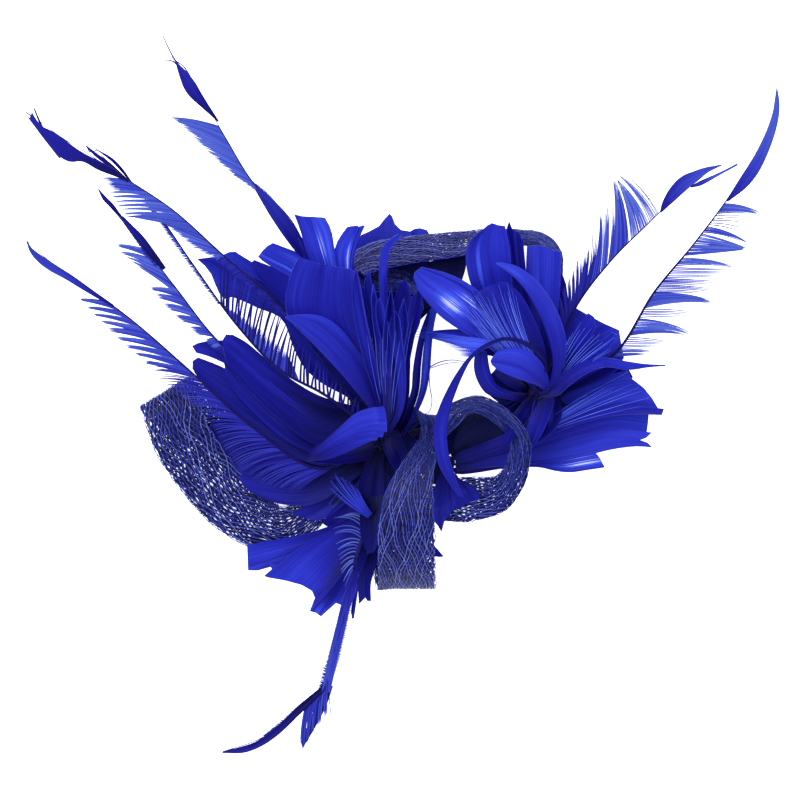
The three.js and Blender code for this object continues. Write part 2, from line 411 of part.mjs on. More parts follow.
// One side of a plume: pointed locks of barbs that lean towards the tip, joined to the shaft's edge
function barbLocks(plume, spine, side, surface) {
  const { points, thickness, triangles } = surface;
  const column = side > 0 ? 'left' : 'right';
  const add = (t, reach, sweep) => {
    const { left } = sheetFrame(spine.getTangentAt(t), 0);
    const out = Math.max(reach, LOCK_FOOT);
    const point = spine.getPointAt(t).addScaledVector(left, side * out);
    point.addScaledVector(spine.getTangentAt(t), sweep * reach);
    points.push(point);
    thickness.push(VANE_THICKNESS);
    return points.length - 1;
  };
  const turn = (a, b, c) => triangles.push(side > 0 ? [a, b, c] : [a, c, b]);
  const edge = surface.edges[column];
  let valley = add(0, 0, 0);
  for (let k = 0; k < plume.locks; k++) {
    const [t, next] = [k / plume.locks, (k + 1) / plume.locks];
    const middle = (t + next) / 2;
    const notch = columnAt(plume.vane, 'notch', next);
    const end = add(next, columnAt(plume.vane, column, next) * (1 - notch), VALLEY_LEAN * (1 - notch));
    const tip = add(middle, columnAt(plume.vane, column, middle), TIP_LEAN);
    turn(edge[k], edge[k + 1], valley);
    turn(edge[k + 1], end, valley);
    turn(valley, end, tip);
    valley = end;
  }
}

// A plume as an open surface: a shaft strip with locks of barbs on both sides
function plumeSurface(plume) {
  const spine = route(plume.path.map(vector));
  const surface = { points: [], thickness: [], triangles: [], edges: { left: [], right: [] } };
  for (let k = 0; k <= plume.locks; k++) {
    const t = k / plume.locks;
    const { left } = sheetFrame(spine.getTangentAt(t), 0);
    const half = RACHIS_HALF_WIDTH * (1 - SHAFT_TAPER * t);
    for (const [name, side] of [['left', 1], ['right', -1]]) {
      surface.edges[name].push(surface.points.length);
      surface.points.push(spine.getPointAt(t).addScaledVector(left, side * half));
      surface.thickness.push(RACHIS_THICKNESS * (1 - SHAFT_THINNING * t));
    }
  }
  const { left, right } = surface.edges;
  for (let k = 0; k < plume.locks; k++) {
    surface.triangles.push([left[k], right[k], left[k + 1]], [right[k], right[k + 1], left[k + 1]]);
  }
  barbLocks(plume, spine, 1, surface);
  barbLocks(plume, spine, -1, surface);
  return surface;
}

// Solid for cuts, from positions and an index or from a geometry
function solidOf({ position, index }) {
  return new wasm.Manifold(new wasm.Mesh({
    numProp: 3,
    vertProperties: new Float32Array(position),
    triVerts: new Uint32Array(index),
  }));
}

// Solid of a library geometry, welded along its seams
function solidOfGeometry(geometry) {
  geometry.deleteAttribute('normal');
  geometry.deleteAttribute('uv');
  const merged = mergeVertices(geometry, 1e-4);
  return solidOf({ position: merged.attributes.position.array, index: merged.index.array });
}

// Triangles of a solid, ready to show
function geometryOf(solid) {
  const { vertProperties, triVerts } = solid.getMesh();
  const geometry = new THREE.BufferGeometry();
  geometry.setAttribute('position', new THREE.BufferAttribute(new Float32Array(vertProperties), 3));
  geometry.setIndex(new THREE.BufferAttribute(new Uint32Array(triVerts), 1));
  return geometry;
}

// The hair clip: one plain closed clip in side profile, flat underneath
function clipGeometry(grow = 0) {
  const { length, width, jaw, height, hinge } = CLIP;
  const half = length / 2;
  const profile = new THREE.Shape();
  profile.moveTo(-half - grow, -grow);
  profile.lineTo(half + grow, -grow);
  profile.lineTo(half + grow, jaw + grow);
  profile.lineTo(hinge - half, height + grow);
  profile.lineTo(-half - grow, height + grow);
  const depth = width + 2 * grow;
  const geometry = new THREE.ExtrudeGeometry(profile, { depth, bevelEnabled: false });
  return geometry.rotateX(Math.PI / 2).translate(0, depth / 2, 0);
}

// The round felt pad that the ribbons and heads are sewn to
function padGeometry(grow = 0) {
  const { radius, bottom, thickness } = PAD;
  const height = thickness + 2 * grow;
  const geometry = new THREE.CylinderGeometry(radius + grow, radius + grow, height, 28);
  return geometry.rotateX(Math.PI / 2).translate(0, 0, bottom + thickness / 2);
}

// A bound head: a turned barrel with a domed top, and the wire stem that ties it to the pad
function headSolid({ x, y, radius, foot, top }, stem, grow = 0) {
  const dome = radius * 0.6;
  const profile = [[0, foot - grow], [radius * 0.8 + grow, foot - grow], [radius + grow, foot + 1.5],
    [radius + grow, top - dome], [radius * 0.7 + grow, top - dome * 0.3], [0, top + grow]];
  const barrel = new THREE.LatheGeometry(profile.map((p) => new THREE.Vector2(...p)), 12);
  let solid = solidOfGeometry(barrel.rotateX(Math.PI / 2).translate(x, y, 0));
  if (stem) {
    const section = new THREE.Shape().absarc(0, 0, STEM_RADIUS + grow, 0, 2 * Math.PI);
    const path = route(stem.map(vector));
    const tube = new THREE.ExtrudeGeometry(section, { steps: 6, curveSegments: 4, extrudePath: path });
    solid = solid.add(solidOfGeometry(tube));
  }
  return solid;
}

// Every piece as its solid and a version grown by the gap; later pieces give way to earlier ones
const pieces = [];
const addPiece = (name, material, solid, grown) => pieces.push({ name, material, solid, grown });
const addSheet = (name, material, surface) => {
  addPiece(name, material, solidOf(thicken(surface)), solidOf(thicken(surface, SHEET_CLEARANCE)));
};

addPiece('hair_clip', STEEL, solidOfGeometry(clipGeometry()), solidOfGeometry(clipGeometry(GAP)));
addPiece('felt_pad', FELT, solidOfGeometry(padGeometry()), solidOfGeometry(padGeometry(GAP)));
for (const [side, head] of Object.entries(HEADS)) {
  const grown = headSolid(head, STEMS[side], HEAD_CLEARANCE);
  addPiece(`bound_head_${side}`, FELT, headSolid(head, STEMS[side]), grown);
}
for (const loop of LOOPS) addSheet(loop.name, SINAMAY, loopSurface(loop));
for (const plume of PLUMES) addSheet(plume.name, PLUME, plumeSurface(plume));
for (const petal of PETALS) addSheet(petal.name, FEATHER, petalSurface(petal));

// The largest body that is left of a solid after a cut
function largestBody(solid) {
  return solid.decompose().reduce((best, body) => (body.volume() > best.volume() ? body : best));
}

const part = new THREE.Group();
const placed = [];
for (const { name, material, solid, grown } of pieces) {
  const cut = placed.reduce((rest, earlier) => rest.subtract(earlier), solid);
  const body = largestBody(cut);
  const mesh = new THREE.Mesh(geometryOf(body), new THREE.MeshStandardMaterial(material));
  mesh.name = name;
  part.add(mesh);
  placed.push(grown);
}

export default part;
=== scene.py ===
import math

import bpy
import numpy as np
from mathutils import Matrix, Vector


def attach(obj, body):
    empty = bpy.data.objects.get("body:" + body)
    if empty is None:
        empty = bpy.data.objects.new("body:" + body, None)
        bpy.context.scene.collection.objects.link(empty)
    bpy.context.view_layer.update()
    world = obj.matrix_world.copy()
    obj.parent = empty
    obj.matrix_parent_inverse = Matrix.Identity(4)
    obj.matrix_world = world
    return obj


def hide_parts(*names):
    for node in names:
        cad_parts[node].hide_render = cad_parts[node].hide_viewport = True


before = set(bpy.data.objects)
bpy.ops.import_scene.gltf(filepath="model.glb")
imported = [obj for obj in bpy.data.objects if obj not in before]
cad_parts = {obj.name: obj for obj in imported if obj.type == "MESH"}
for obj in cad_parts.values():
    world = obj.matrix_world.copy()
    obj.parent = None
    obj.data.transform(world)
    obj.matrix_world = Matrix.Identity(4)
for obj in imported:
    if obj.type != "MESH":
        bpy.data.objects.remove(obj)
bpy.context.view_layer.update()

# A feather fascinator lying on its back: the tables are in millimetres, every mesh is in metres
MM = 0.001
UP = np.array([0.0, 0.0, 1.0])
SHARP_ANGLE = math.radians(70)

# Steps of a smooth edge, a spine, a plume's table of places, a ribbon and a wound thread
EDGE_STEPS = 240
SPINE_STEPS = 500
TABLE_STEPS = 400
RIBBON_STEPS = 600
WOUND_STEPS = 320

# Feather sheets: mesh rows and columns, the foot at the bound head, and the power that eases the cut tip in
VANE_THICKNESS = 0.16
SHEET_ROWS = 26
SHEET_COLUMNS = 24
COLUMN_GAP = 0.008
ROOT_SPREAD = 2.2
HEAD_OVERLAP = 3.0
TIP_POWER = 2.4
# Relief: usual cup and wave, where a cup crosses the sheet's own height, the waves' turns along and across,
# and creases
CUP = 0.8
WAVE = 0.3
CUP_LEVEL = 0.4
WAVE_TURNS = (4.2, 2.4)
RIPPLE_TURNS = (2.0, 6.5)
CREASE_DEPTH = 0.35
CREASE_WIDTH = 0.06
CREASE_SHADE_WIDTH = 0.03
# Slits: how they open towards the tip, and the overlap and height step of the parts beside them
SLIT_POWER = 1.3
SLIT_LAP = 0.6
SLIT_STEP = 0.2
# Tones from 0 dark to 1 pale: rise along the sheet, painted shade at the root, painted light at thin edges,
# and painted highlight and shade patches, the strong highlights broken in streaks
TONE_RISE = 0.12
TONE_LEVEL = 0.6
ROOT_SHADE = 0.3
EDGE_LIGHT = 0.04
SIDE_EDGE = 0.05
TIP_EDGE = 0.03
STREAKY = 0.3
STREAK_RANGE = (-0.7, 1.7)

# Shafts and quills
SHAFT_SIDES = 6
SHAFT_POWER = 0.8
QUILL_RADIUS = 0.5
QUILL_START = -0.2
QUILL_TAPER = 0.5
QUILL_RISE = 0.35
QUILL_SHADE = 0.3

# Barbs and hairs
BARB_WIDTH = 0.36
BARB_THICKNESS = 0.12
BARB_STEPS = 7
BARB_TAPER = (0.8, 2.5)
BARB_STRAY = 0.25
BARB_BOW = 0.12
BARB_LIFT = 0.04
# Spread of the tones from barb to barb, their rise along a barb, and the share of it at the barb's own tone
BARB_TONES = (0.12, 0.14, 0.4)
FAN_WOBBLE = 0.35
FAN_REACH = (0.84, 1.03)
FAN_LEAN = 0.4
PLUME_REACH = (0.93, 1.0)
PLUME_SHAFT_TONE = 0.1
UNEVEN = 0.2
TIP_UNEVEN = 1.5
GATHER = 0.4
LEAF_LIFT = 0.5
LEAF_LOOK = dict(columns=9, wave=0.1, cup=0.5)
HAIR_STEPS = 14
HAIR_TAPER = (1.25, 0.6)
HAIR_THICKNESS = 0.16

# Sinamay: strands on the outer and the inner level, each with two hands, wound round a flattened tube
STRAND_WIDTHS = (0.26, 0.54)
# Tones of the two levels: painted light on the outer strands and painted shade on the inner ones
STRAND_TONES = (0.74, -0.06)
STRAND_THICKNESS = 0.16
STRAND_STEP = 1.5
STRAND_WAVE = 0.07
STRAND_JITTER = 0.2
STRAND_DRIFT = 0.3
DRIFT_TURNS = (0.21, 0.53, 9)
TONE_SPREAD = 0.22
NARROWEST = 0.35
INNER_SHARE = 0.9
FOLD_SHARPNESS = 6
LAYER_GAPS = (0.46, 0.16)
# Strand pitch, run for each crossing, and factor on the strand widths
WEAVES = {
    "sinamay_loop_left": (1.3, 3.3, 1.25),
    "sinamay_loop_top": (1.5, 2.3, 1.5),
    "sinamay_ring_right": (1.25, 2.9, 1.2),
    "sinamay_loop_centre": (1.06, 3.6, 1.06),
}

# Bound heads: axis position, radius, foot and top heights, and the wire stem to the pad
PAD_TOP = 6.5
STEM_RADIUS = 1.4
STEM_SEAT = PAD_TOP + 0.45 + STEM_RADIUS
HEADS = {
    "left": dict(x=3, y=6, radius=3.2, foot=PAD_TOP + 0.3, top=20, stem=None),
    "right": dict(x=49, y=20, radius=3.2, foot=9.6, top=24,
                  stem=[[8.6, 6.8, STEM_SEAT], [14, 8.6, STEM_SEAT], [30, 13, 8.6], [49, 20, 11.6]]),
    "lower": dict(x=-1, y=-15.5, radius=2.6, foot=5, top=14,
                  stem=[[-2, -4, STEM_SEAT], [-1.6, -12, STEM_SEAT], [-1, -15.5, 8]]),
    "fan": dict(x=22, y=-1, radius=2.2, foot=1.4, top=9,
                stem=[[9, -1.4, STEM_SEAT], [13, -1.2, STEM_SEAT], [22, -1, 6]]),
}
# The thread turns in at the shoulder of a head; pitches, inset and sections in millimetres
SHOULDER = 0.86
THREAD_PITCH = 0.75
THREAD_INSET = 0.35
THREAD_SECTION = (0.7, 0.84)
STEM_THREAD_PITCH = 0.9
STEM_THREAD_SECTION = (0.5, 0.85)
STEM_CORE = STEM_RADIUS - 0.3
THREAD_TONE = 0.5

# Plan grid: places are read in 0.3 mm steps as the camera sees them, x to the right and y down
GRID = 0.3
GRID_CENTRE = (375, 460)
CAMERA_AT = (7.5, 18.0)
CAMERA_HEIGHT = 2000.0
FOCUS_HEIGHT = 22.0
VIEW_WIDTH = 240
SENSOR = 36

# Looks and light
FINE_STREAKS = 0.3
BROAD_STREAKS = 0.2
STREAK_GAIN = 0.72
STREAK_BUMP = 0.00022
FLOOR_GLOW = 1.0
FLOOR_HALF = 3.0
FLOOR_DROP = 0.0003
WORLD_LIGHT = 0.5
LIGHT_TARGET = (0, 0.01, 0.02)


def places(text):
    """Rows of numbers, such as x,y places of the plan grid, with commas in a row and blanks between rows."""
    return np.array([[float(value) for value in row.split(",")] for row in text.split()])


def parts(text):
    return [places(part) for part in text.split("|")]


def sheet(text, tone, **look):
    """A feather sheet: heights from root to tip | left edge | cut tip | right edge."""
    rise, left, tip, right = parts(text)
    return dict(rise=rise[:, 0], left=left, tip=tip, right=right, tone=tone, look=look)


def leaf(text, tone):
    """A closed leaf of a plume, at the height of its shaft: left edge | tip | right edge."""
    left, tip, right = parts(text)
    return dict(rise=None, left=left, tip=tip, right=right, tone=tone, look=LEAF_LOOK)


def fan(text, count, tone, **look):
    """Separate barbs: places of their feet | places of their tips."""
    base, tips = parts(text)
    return dict(base=base, tips=tips, count=count, tone=tone, look=look)


def wire(text, width, tone):
    """One loose barb or hair: its heights | its places."""
    rise, line = parts(text)
    return dict(rise=rise[:, 0], line=line, width=width, tone=tone)


# Petals: the bound head that they grow from, sheets, fans of loose barbs, and single hairs
# A sheet's tone gives its blue; low tones of sheets that lie in shadow are painted shade
PETALS = {
    "left_petal_face": ("left", [
        sheet("17 24 31 37 41 42 | 372,402 352,374 325,348 300,332 287,314 285,300 288,284 293,268 | "
            "299,257 308,260 320,264 335,266.5 350,269 356,273 | 384,402 376,362 367,335 361,308 358,288",
            0.4, cup=2.2, wave=0.2, creases=[(0.42, 0.12)])]),
    "left_petal_arc": ("left", [
        sheet("18.3 27 34 40 44 46 | 370,410 354,389 337,369 320,351 303,334 293,324 | 285,318 287,316 | "
            "384,404 375,380 365,361 354,345 344,332 333,322 320,315.5 305,314 294,315", 0.46, cup=-1.6,
            wave=0.1, glints=[(0.6, 0.9, 0.5, 0.1, 0.12)])]),
    "left_petal_top": ("left", [
        sheet("15 20 25 31 34.6 | 371,402 346,340 322,290 306,250 300,230 | 294,214 301,216 311,216.8 | "
            "373,402 354,340 336,290 326,258 319,236", 0.42, wave=0.5, columns=32,
            glints=[(0.9, 0.5, 0.12, 0.3, 0.15), (0.84, 0.9, 0.08, 0.1, 0.9)]),
        sheet("15.4 21 26 32 35 | 373,402 352,340 334,290 325,262 319,240 | 310,216.5 317,217 325,217.5 | "
            "376,402 357,340 343,290 336,262 334,245 331,229", 0.54, wave=0.4, columns=32,
            glints=[(0.84, 0.12, 0.1, 0.16, 0.8), (0.85, 0.6, 0.15, 0.2, 0.2)]),
        sheet("14 19 24 29 31 | 371,402 342,340 318,290 306,262 | 298,238 301,243 | 373,402 347,340 323,290 "
            "310,262", 0.34, wave=0.3)]),
    "left_petal_notch": ("left", [
        sheet("11.4 13.5 16 18.5 21 | 370,408 342,350 315,305 300,285 289,277 276,269.5 | 262,260.5 "
            "258,256.5 263,250 268,245.5 273,243 | 374,402 352,340 327,290 312,264 300,253.5 286,248", 0.5,
            wave=0.4, glints=[(0.8, 0.35, 0.2, 0.22, 0.3), (0.85, 0.75, 0.1, 0.12, 0.2)]),
        sheet("11 13 15.6 18 20 | 368,412 335,362 305,326 285,305 265,285 | 253,268 250,264 254,260 "
            "258,261.5 | 372,408 342,351 316,307 292,278 277,269", 0.36, wave=0.3)]),
    "left_petal_broad": ("left", [
        sheet("10.4 11 12 13.6 15 | 366,410 345,396 320,382 303,366 293,346 282,319 258,308 243,301 232,297 "
            "| 224,299 219,293 215,284 211,274 205,266 197,259 209,257.5 221,255.5 | 372,408 346,362 "
            "320,328 292,300 262,278 240,265", 0.46, wave=0.4, glints=[(0.75, 0.7, 0.25, 0.2, -0.1)]),
        sheet("11 12 13 14.6 16 | 370,408 345,362 318,328 290,302 262,282 236,270 | 219,259 221.5,255.5 "
            "229,252 235,251.5 240,255 | 374,405 350,348 325,312 300,288 275,273 257,265", 0.5, wave=0.3)]),
    "left_petal_dark": ("left", [
        sheet("14.2 16 17.6 20 22 | 374,448 345,449 312,443 285,424 258,400 238,378 | 226,362 222,341 "
            "226,334.5 233,335 | 378,412 350,405 320,396 298,384 275,367 260,354 247,343", 0.24, cup=2.0,
            wave=0.5, glints=[(0.35, 0.7, 0.3, 0.2, -0.12), (0.8, 0.6, 0.25, 0.4, 0.08)]),
        sheet("13 14.4 16 18 20 | 366,454 330,458 290,443 255,414 234,390 | 226,375 224,362 230,355 | "
            "374,432 330,425 280,390 250,362", 0.26, wave=0.4)]),
    "left_petal_spur": ("left", [
        sheet("11.8 12.2 13 15 | 366,434 300,404 255,384 226,364 | 209,356 196,352.5 192,346 198,343 "
            "208,341 | 370,424 300,388 255,358 226,341", 0.34, wave=0.2)]),
    "left_petal_low": ("left", [
        sheet("10 10.4 11 11.8 12.6 | 366,450 330,466 290,456 255,437 225,410 208,391 | 195,373 192.5,368.5 "
            "192.5,361 198,357.5 | 370,438 330,430 290,405 250,382 220,366", 0.27, wave=0.3)]),
    "left_petal_base": ("left", [
        sheet("8.4 8.4 8.2 8 | 364,470 340,490 310,505 280,504 262,498 | 248,490 237,478 240,466 | 364,452 "
            "340,455 305,458 265,459", 0.2, wave=0.3, glints=[(0.8, 0.3, 0.3, 0.3, 0.1)]),
        sheet("7.6 7.4 7 6.6 | 368,480 350,500 330,515 | 318,521 306,519 290,513 | 362,470 335,492 305,506",
            0.24, wave=0.2),
        sheet("8.6 8.2 7.8 7.4 | 340,478 300,476 262,476 | 232,470 218,450 210,424 | 330,440 290,430 "
            "245,410", 0.16, wave=0.3),
        sheet("7.6 7 6.8 6.4 | 380,496 374,512 366,530 | 352,536 338,534 322,523 | 366,478 350,495 332,510",
            0.22, wave=0.2),
        sheet("14 12 10 9.4 | 396,452 402,480 408,508 | 412,526 404,534 394,530 | 384,455 384,482 384,508",
            0.18, wave=0.2, creases=[(0.5, 0.15)]),
        sheet("13.4 12 11 10.4 | 388,455 387,480 384,502 | 377,518 368,514 362,506 | 370,452 362,472 "
            "358,490", 0.16, wave=0.3),
        sheet("14.4 14 12 10.4 | 402,446 416,466 424,488 | 424,508 416,514 408,508 | 390,450 396,474 "
            "402,492", 0.1, wave=0.3, creases=[(0.4, 0.1)])]),
    "left_petal_lip": ("left", [
        sheet("19 21 23.5 26 | 370,458 340,464 | 316,463 306,459 316,445 | 372,440 346,440 330,442", 0.2,
            wave=0.1),
        sheet("26 30 34 36.5 37 36 | 305,459 318,447 330,436 343,424 356,413 370,408 | 384,406.5 386,414 "
            "387,424 387,432 384,431 383,437 379,434 377,440 373,437 371,441 | 307,461 325,460 343,454 "
            "358,447", 0.42, wave=0.1, free=True, cup=-1.2, creases=[(0.3, -0.1)],
            glints=[(0.6, 0.15, 0.4, 0.12, 0.15)])]),
    "left_petal_strips": ("left", [
        sheet("16 22 27 31 33 | 370,404 357,350 343,300 335,268 334,252 338,240 | 347,227 352,226 "
            "358.5,225.5 | 373,404 363,350 354,300 350.5,268 351.5,250", 0.5, wave=0.3, columns=36,
            glints=[(0.88, 0.4, 0.12, 0.3, 0.15), (0.83, 0.85, 0.09, 0.12, 0.9)]),
        sheet("16.4 22.4 27.6 31.6 33.4 | 373,404 362,350 353,300 349,268 351,250 | 358.5,227 362,225.3 "
            "365,225.5 | 377,404 367,350 358,300 353.5,266 356,247 361,234", 0.5, wave=0.2, columns=36,
            glints=[(0.75, 0.2, 0.1, 0.25, 0.8), (0.88, 0.6, 0.12, 0.3, 0.2)])]),
    "left_petal_peak": ("left", [
        sheet("8.2 4 3 2 1.4 | 378,410 370,350 358,300 352,270 354,250 | 361,235 370,231 379,226 384,219.5 "
            "389.5,213.5 392,216 395,224 401,230 411,231.5 | 392,410 400,350 408,300 414,265 414,245", 0.38,
            wave=0.2),
        sheet("7.4 3.2 2.2 1.4 0.9 | 394,410 400,350 406,290 408,250 | 409,232 414,229 420,228 427,230 "
            "429,234 | 400,410 412,350 424,290 430,255", 0.42, wave=0.1)]),
    "left_strip_curl": ("left", [
        sheet("18.6 28 36 40 41 38 35 | 392,410 386,360 381,310 379,275 380,255 385,243 | 398,234 402,236 | "
            "396,410 391,360 388,310 387,275 388.5,257 392,246", 0.44, wave=0, columns=6)]),
    "left_strip_tall": ("left", [
        sheet("20.8 30 40 48 51 | 376,400 364,360 355,320 352,294 | 354,276 356,268 359,278 | 384,402 "
            "376,360 367,320 362,292", 0.44, columns=10, wave=0.5, glints=[(0.6, 0.3, 0.2, 0.15, 0.15)]),
        sheet("20.8 29 38 46 48 | 384,404 375,352 368,312 364,290 | 365,279 369,269 371,281 | 389,404 "
            "384,352 377,312 373,292", 0.38, columns=10, wave=0.5, slits=[(0.5, 0.6, 1.5)]),
        sheet("21.4 31 40 46 49 | 380,408 380,372 373,325 | 371,298 373,284 377,299 | 390,408 390,370 "
            "382,325", 0.5, columns=10, wave=0.4)], [
        fan("386,425 388,424 | 366,330 372,322 380,330 386,352", 5, 0.85, rise=(21, 48), width=0.2,
            bow=0.04)]),
    "left_strip_centre": ("left", [
        sheet("21 32 43 50 54 | 394,410 388,365 379,330 376,316 | 376,304 380,297 384,308 | 398,406 396,360 "
            "389,328 386,318", 0.42, columns=10, wave=0.5, glints=[(0.7, 0.7, 0.2, 0.15, 0.2)]),
        sheet("21.6 34 46 53 57 | 383,408 382,365 384,325 | 387,305 391,288 394,306 | 391,408 392,365 "
            "395,325", 0.36, columns=10, wave=0.3),
        sheet("21.4 21 20 18 | 380,436 384,450 392,466 | 402,478 408,472 | 396,430 404,444 408,458", 0.16,
            wave=0.2, creases=[(0.5, 0.1)]),
        sheet("21 31 41 49 52 | 396,412 398,380 392,345 389,330 | 391,318 396,311 400,320 | 403,410 406,378 "
            "403,345", 0.5, columns=10, wave=0.4, slits=[(0.45, 0.7, 1.0)])], [
        fan("388,426 392,424 | 380,330 390,318 399,335 403,352", 5, 0.85, rise=(21.5, 52), width=0.2,
            bow=0.04)]),
    "left_strip_right": ("left", [
        sheet("16 22 29 35 37 | 388,412 391,370 396,330 | 399,312 404,298 407,313 | 400,412 404.5,370 "
            "408,332", 0.4, columns=10, wave=0.5),
        sheet("15.4 21 27 33 36 | 393,416 399,388 403,352 407,316 | 411,299 421,286 422,300 | 403,420 "
            "409,396 410,372 411.5,345 420,322", 0.36, columns=10, wave=0.5, slits=[(0.55, 0.72, 1.2)]),
        sheet("15 19 24 30 33 | 386,414 386,375 389,335 394,300 | 400,283 405,279 409,287 | 398,414 401,375 "
            "405,335 411,300", 0.28, columns=10, wave=0.3),
        # A dark sheet under the top loop: its tone below zero is painted shade
        sheet("10 9 8 8 8 | 390,410 394,350 396,300 | 398,268 425,263 450,255 470,247 | 396,412 402,372 "
            "409,335 436,305 460,284", -0.12, wave=0.2, cup=0.3),
        sheet("13 12 11 10 | 400,426 414,438 426,450 | 432,462 422,468 412,466 | 394,440 400,452 406,462",
            0.12, wave=0.2)], [
        fan("396,420 400,418 | 399,330 405,318 411,326 414,310", 5, 0.8, rise=(18, 37), width=0.2,
            bow=0.04)]),
    "left_strip_pale": ("left", [
        sheet("12 15 18 20.6 22 | 394,430 403,410 411,392 413,370 416.5,348 421,330 | 427,314 431,309 | "
            "403,432 413,410 419,390 421,365 423.5,345 428,325", 0.36, columns=8, wave=0.1),
        sheet("12.4 15.6 18.8 21.2 22.6 | 402,432 414,409 420,388 422,365 424,345 428,325 | 431,309 434,306 "
            "437,311 | 404,435 417,413 426,392 430,370 431.5,348 434,325", 0.62, columns=8, wave=0.1,
            glints=[(0.6, 0.5, 0.25, 0.3, 0.2)])], [], [
        wire("15 17 15 | 429,372 430,388 432,401 429,412 421,415", 0.25, 0.5),
        wire("20 25 26 | 428,368 440,362 452,360 466,362", 0.3, 0.45),
        wire("20 24 25 | 428,369 442,364.5 455,362.5 465,364", 0.22, 0.5)]),
    "right_petal_pale": ("right", [
        sheet("24.4 29 34 38 40 | 528,384 505,360 480,342 458,329 440,316 428,303 418,290 | 413.5,277 "
            "415,272 422,267 | 534,380 522,345 503,315 486,297 466,282 447,273.5 433,269.5", 0.5, wave=0.5,
            cup=1.0, creases=[(0.86, 0.12)], columns=90,
            glints=[(0.71, 0.36, 0.07, 0.17, 0.95), (0.64, 0.7, 0.08, 0.1, 0.75),
                    (0.68, 0.5, 0.25, 0.35, 0.12)])], [
        fan("522,368 526,362 | 456,306 462,296 470,290 476,287", 14, 0.9, rise=(24, 40), width=0.2,
            bow=0.03)]),
    "right_petal_upright": ("right", [
        sheet("18.4 23.5 28 31 33 | 525,382 505,340 486,310 473,290 467,270 466,252 471,240 | 482,230.5 "
            "488,225 492,223 498,225 505,226 | 534,382 524,340 516,305 512,275 510,250", 0.43, cup=0.8,
            wave=0.4, creases=[(0.52, 0.06)],
            glints=[(0.74, 0.28, 0.14, 0.07, 0.6), (0.85, 0.7, 0.15, 0.3, 0.08)])]),
    "right_petal_spire": ("right", [
        sheet("16.2 20 23 25 27 | 531,382 519,330 510,285 506,255 | 505,235 509,221 512,228.5 519,232.5 "
            "523,241 | 538,382 533,330 528,290 525,262", 0.3, wave=0.3, creases=[(0.3, 0.15), (0.7, 0.15)],
            glints=[(0.9, 0.2, 0.08, 0.12, 0.2)])]),
    "right_petal_square": ("right", [
        sheet("14.2 17 19 22 24 | 535,384 532,340 528,300 526,270 | 527,246 538,245.3 547,247 553,250 "
            "561,251.5 | 544,384 554,340 559,305 560.5,275", 0.46, wave=0.3, cup=0.8, creases=[(0.4, 0.06)],
            glints=[(0.8, 0.5, 0.2, 0.3, 0.08)]),
        sheet("13 15 17 19 | 540,384 552,335 557,300 | 560,268 563,276 566,284 | 548,386 563,345 569,310",
            0.36, wave=0.3, creases=[(0.5, 0.15)])]),
    "right_petal_bright": ("right", [
        sheet("24.8 31.5 37 41 43.5 44 | 546,388 553,365 549,340 540,315 527,292 513,276 | 496,264 498,262 "
            "| 552,388 565,362 566.5,343 561,320 550,298 535,279 516,266", 0.53, cup=-1.4, wave=0,
            glints=[(0.9, 0.4, 0.12, 0.4, 0.12), (0.5, 0.95, 0.4, 0.08, 0.1)])]),
    "right_petal_barbs": ("right", [
        sheet("21.4 29 33 36 | 540,386 525,354 500,328 480,310 | 472,298 484,288 500,282 508,283 | 548,386 "
            "546,352 535,320 521,295", 0.34, wave=0.3)], [
        fan("546,385 548,381 | 466,326 473,311 482,300 492,291 501,283 511,281", 30, 0.85, rise=(24, 38.5),
            width=0.24, bow=0.1)]),
    "right_petal_curl": ("right", [
        sheet("25 37 40.5 42.5 43 42 40 37.5 34 30 27 24 | 545,366 527,347 505,340.5 486,348 472,359 "
            "463,375 456,392 450,410 447,430 448,450 453,470 | 463,497 458,496 | 548,366 529,343 505,337 "
            "484,344.5 469.5,356 456,374 446,392 439,408 434,425 434,445 440,468", 0.32, cup=0.4, wave=0,
            columns=12, rows=60, creases=[(0.5, -0.12)], glints=[(0.75, 0.4, 0.2, 0.3, 0.12)])]),
    "right_petal_spray": ("right", [
        sheet("17.4 21 25 28 29 | 526,378 505,360 482,354 458,346 443,341.5 | 431,338 424,334.5 432,331 | "
            "530,370 512,347 490,334 468,329.5 448,329.5", 0.42, wave=0.2, slits=[(0.25, 0.45, 1.2)],
            glints=[(0.7, 0.6, 0.2, 0.2, 0.1)])], [
        fan("500,341 472,356 | 425,332 430,336 438,341 455,352 462,357", 26, 0.75, rise=(36, 30), width=0.24,
            bow=0.0),
        fan("440,334 438,338 | 418,325 412,330 407,334 413,338", 6, 0.5, rise=(29, 30), width=0.22,
            bow=0.0)]),
    "right_petal_leaf": ("right", [
        sheet("25 30 33.5 36 36.4 | 545,392 538,386 524,381 508,375 498,370 | 492,365 490.5,361 493,356 | "
            "549,390 547,373 538,358 524,349 508,348 498,351", 0.52, wave=0, cup=-1.0,
            creases=[(0.38, 0.16)], glints=[(0.7, 0.75, 0.3, 0.2, 0.1), (0.7, 0.2, 0.3, 0.12, 0.1)])]),
    "right_petal_inner": ("right", [
        sheet("18 22 27 30 31 | 528,402 505,399 487,394 478,382 474,368 | 475,353 481,349 487,352 | 530,394 "
            "510,391 496,384 490,370", 0.38, wave=0.1, creases=[(0.6, -0.2)]),
        sheet("17 20 25 28 29 | 530,396 512,388 500,380 | 494,372 497,366 503,366 | 532,390 520,380 510,372",
            0.2, wave=0.1)]),
    # Dark sheets between the ring and the right head: their low tones are painted shade
    "right_petal_shade": ("right", [
        sheet("13.4 15 17 18 | 528,402 515,407 500,403 | 489,395 488,377 496,369 | 530,386 520,376 508,370",
            0.08, wave=0.2, creases=[(0.5, -0.1)]),
        sheet("13 13.6 14 14 | 534,404 527,420 521,428 | 514,430 503,416 497,400 | 528,398 515,396 505,396",
            0.08, wave=0.2),
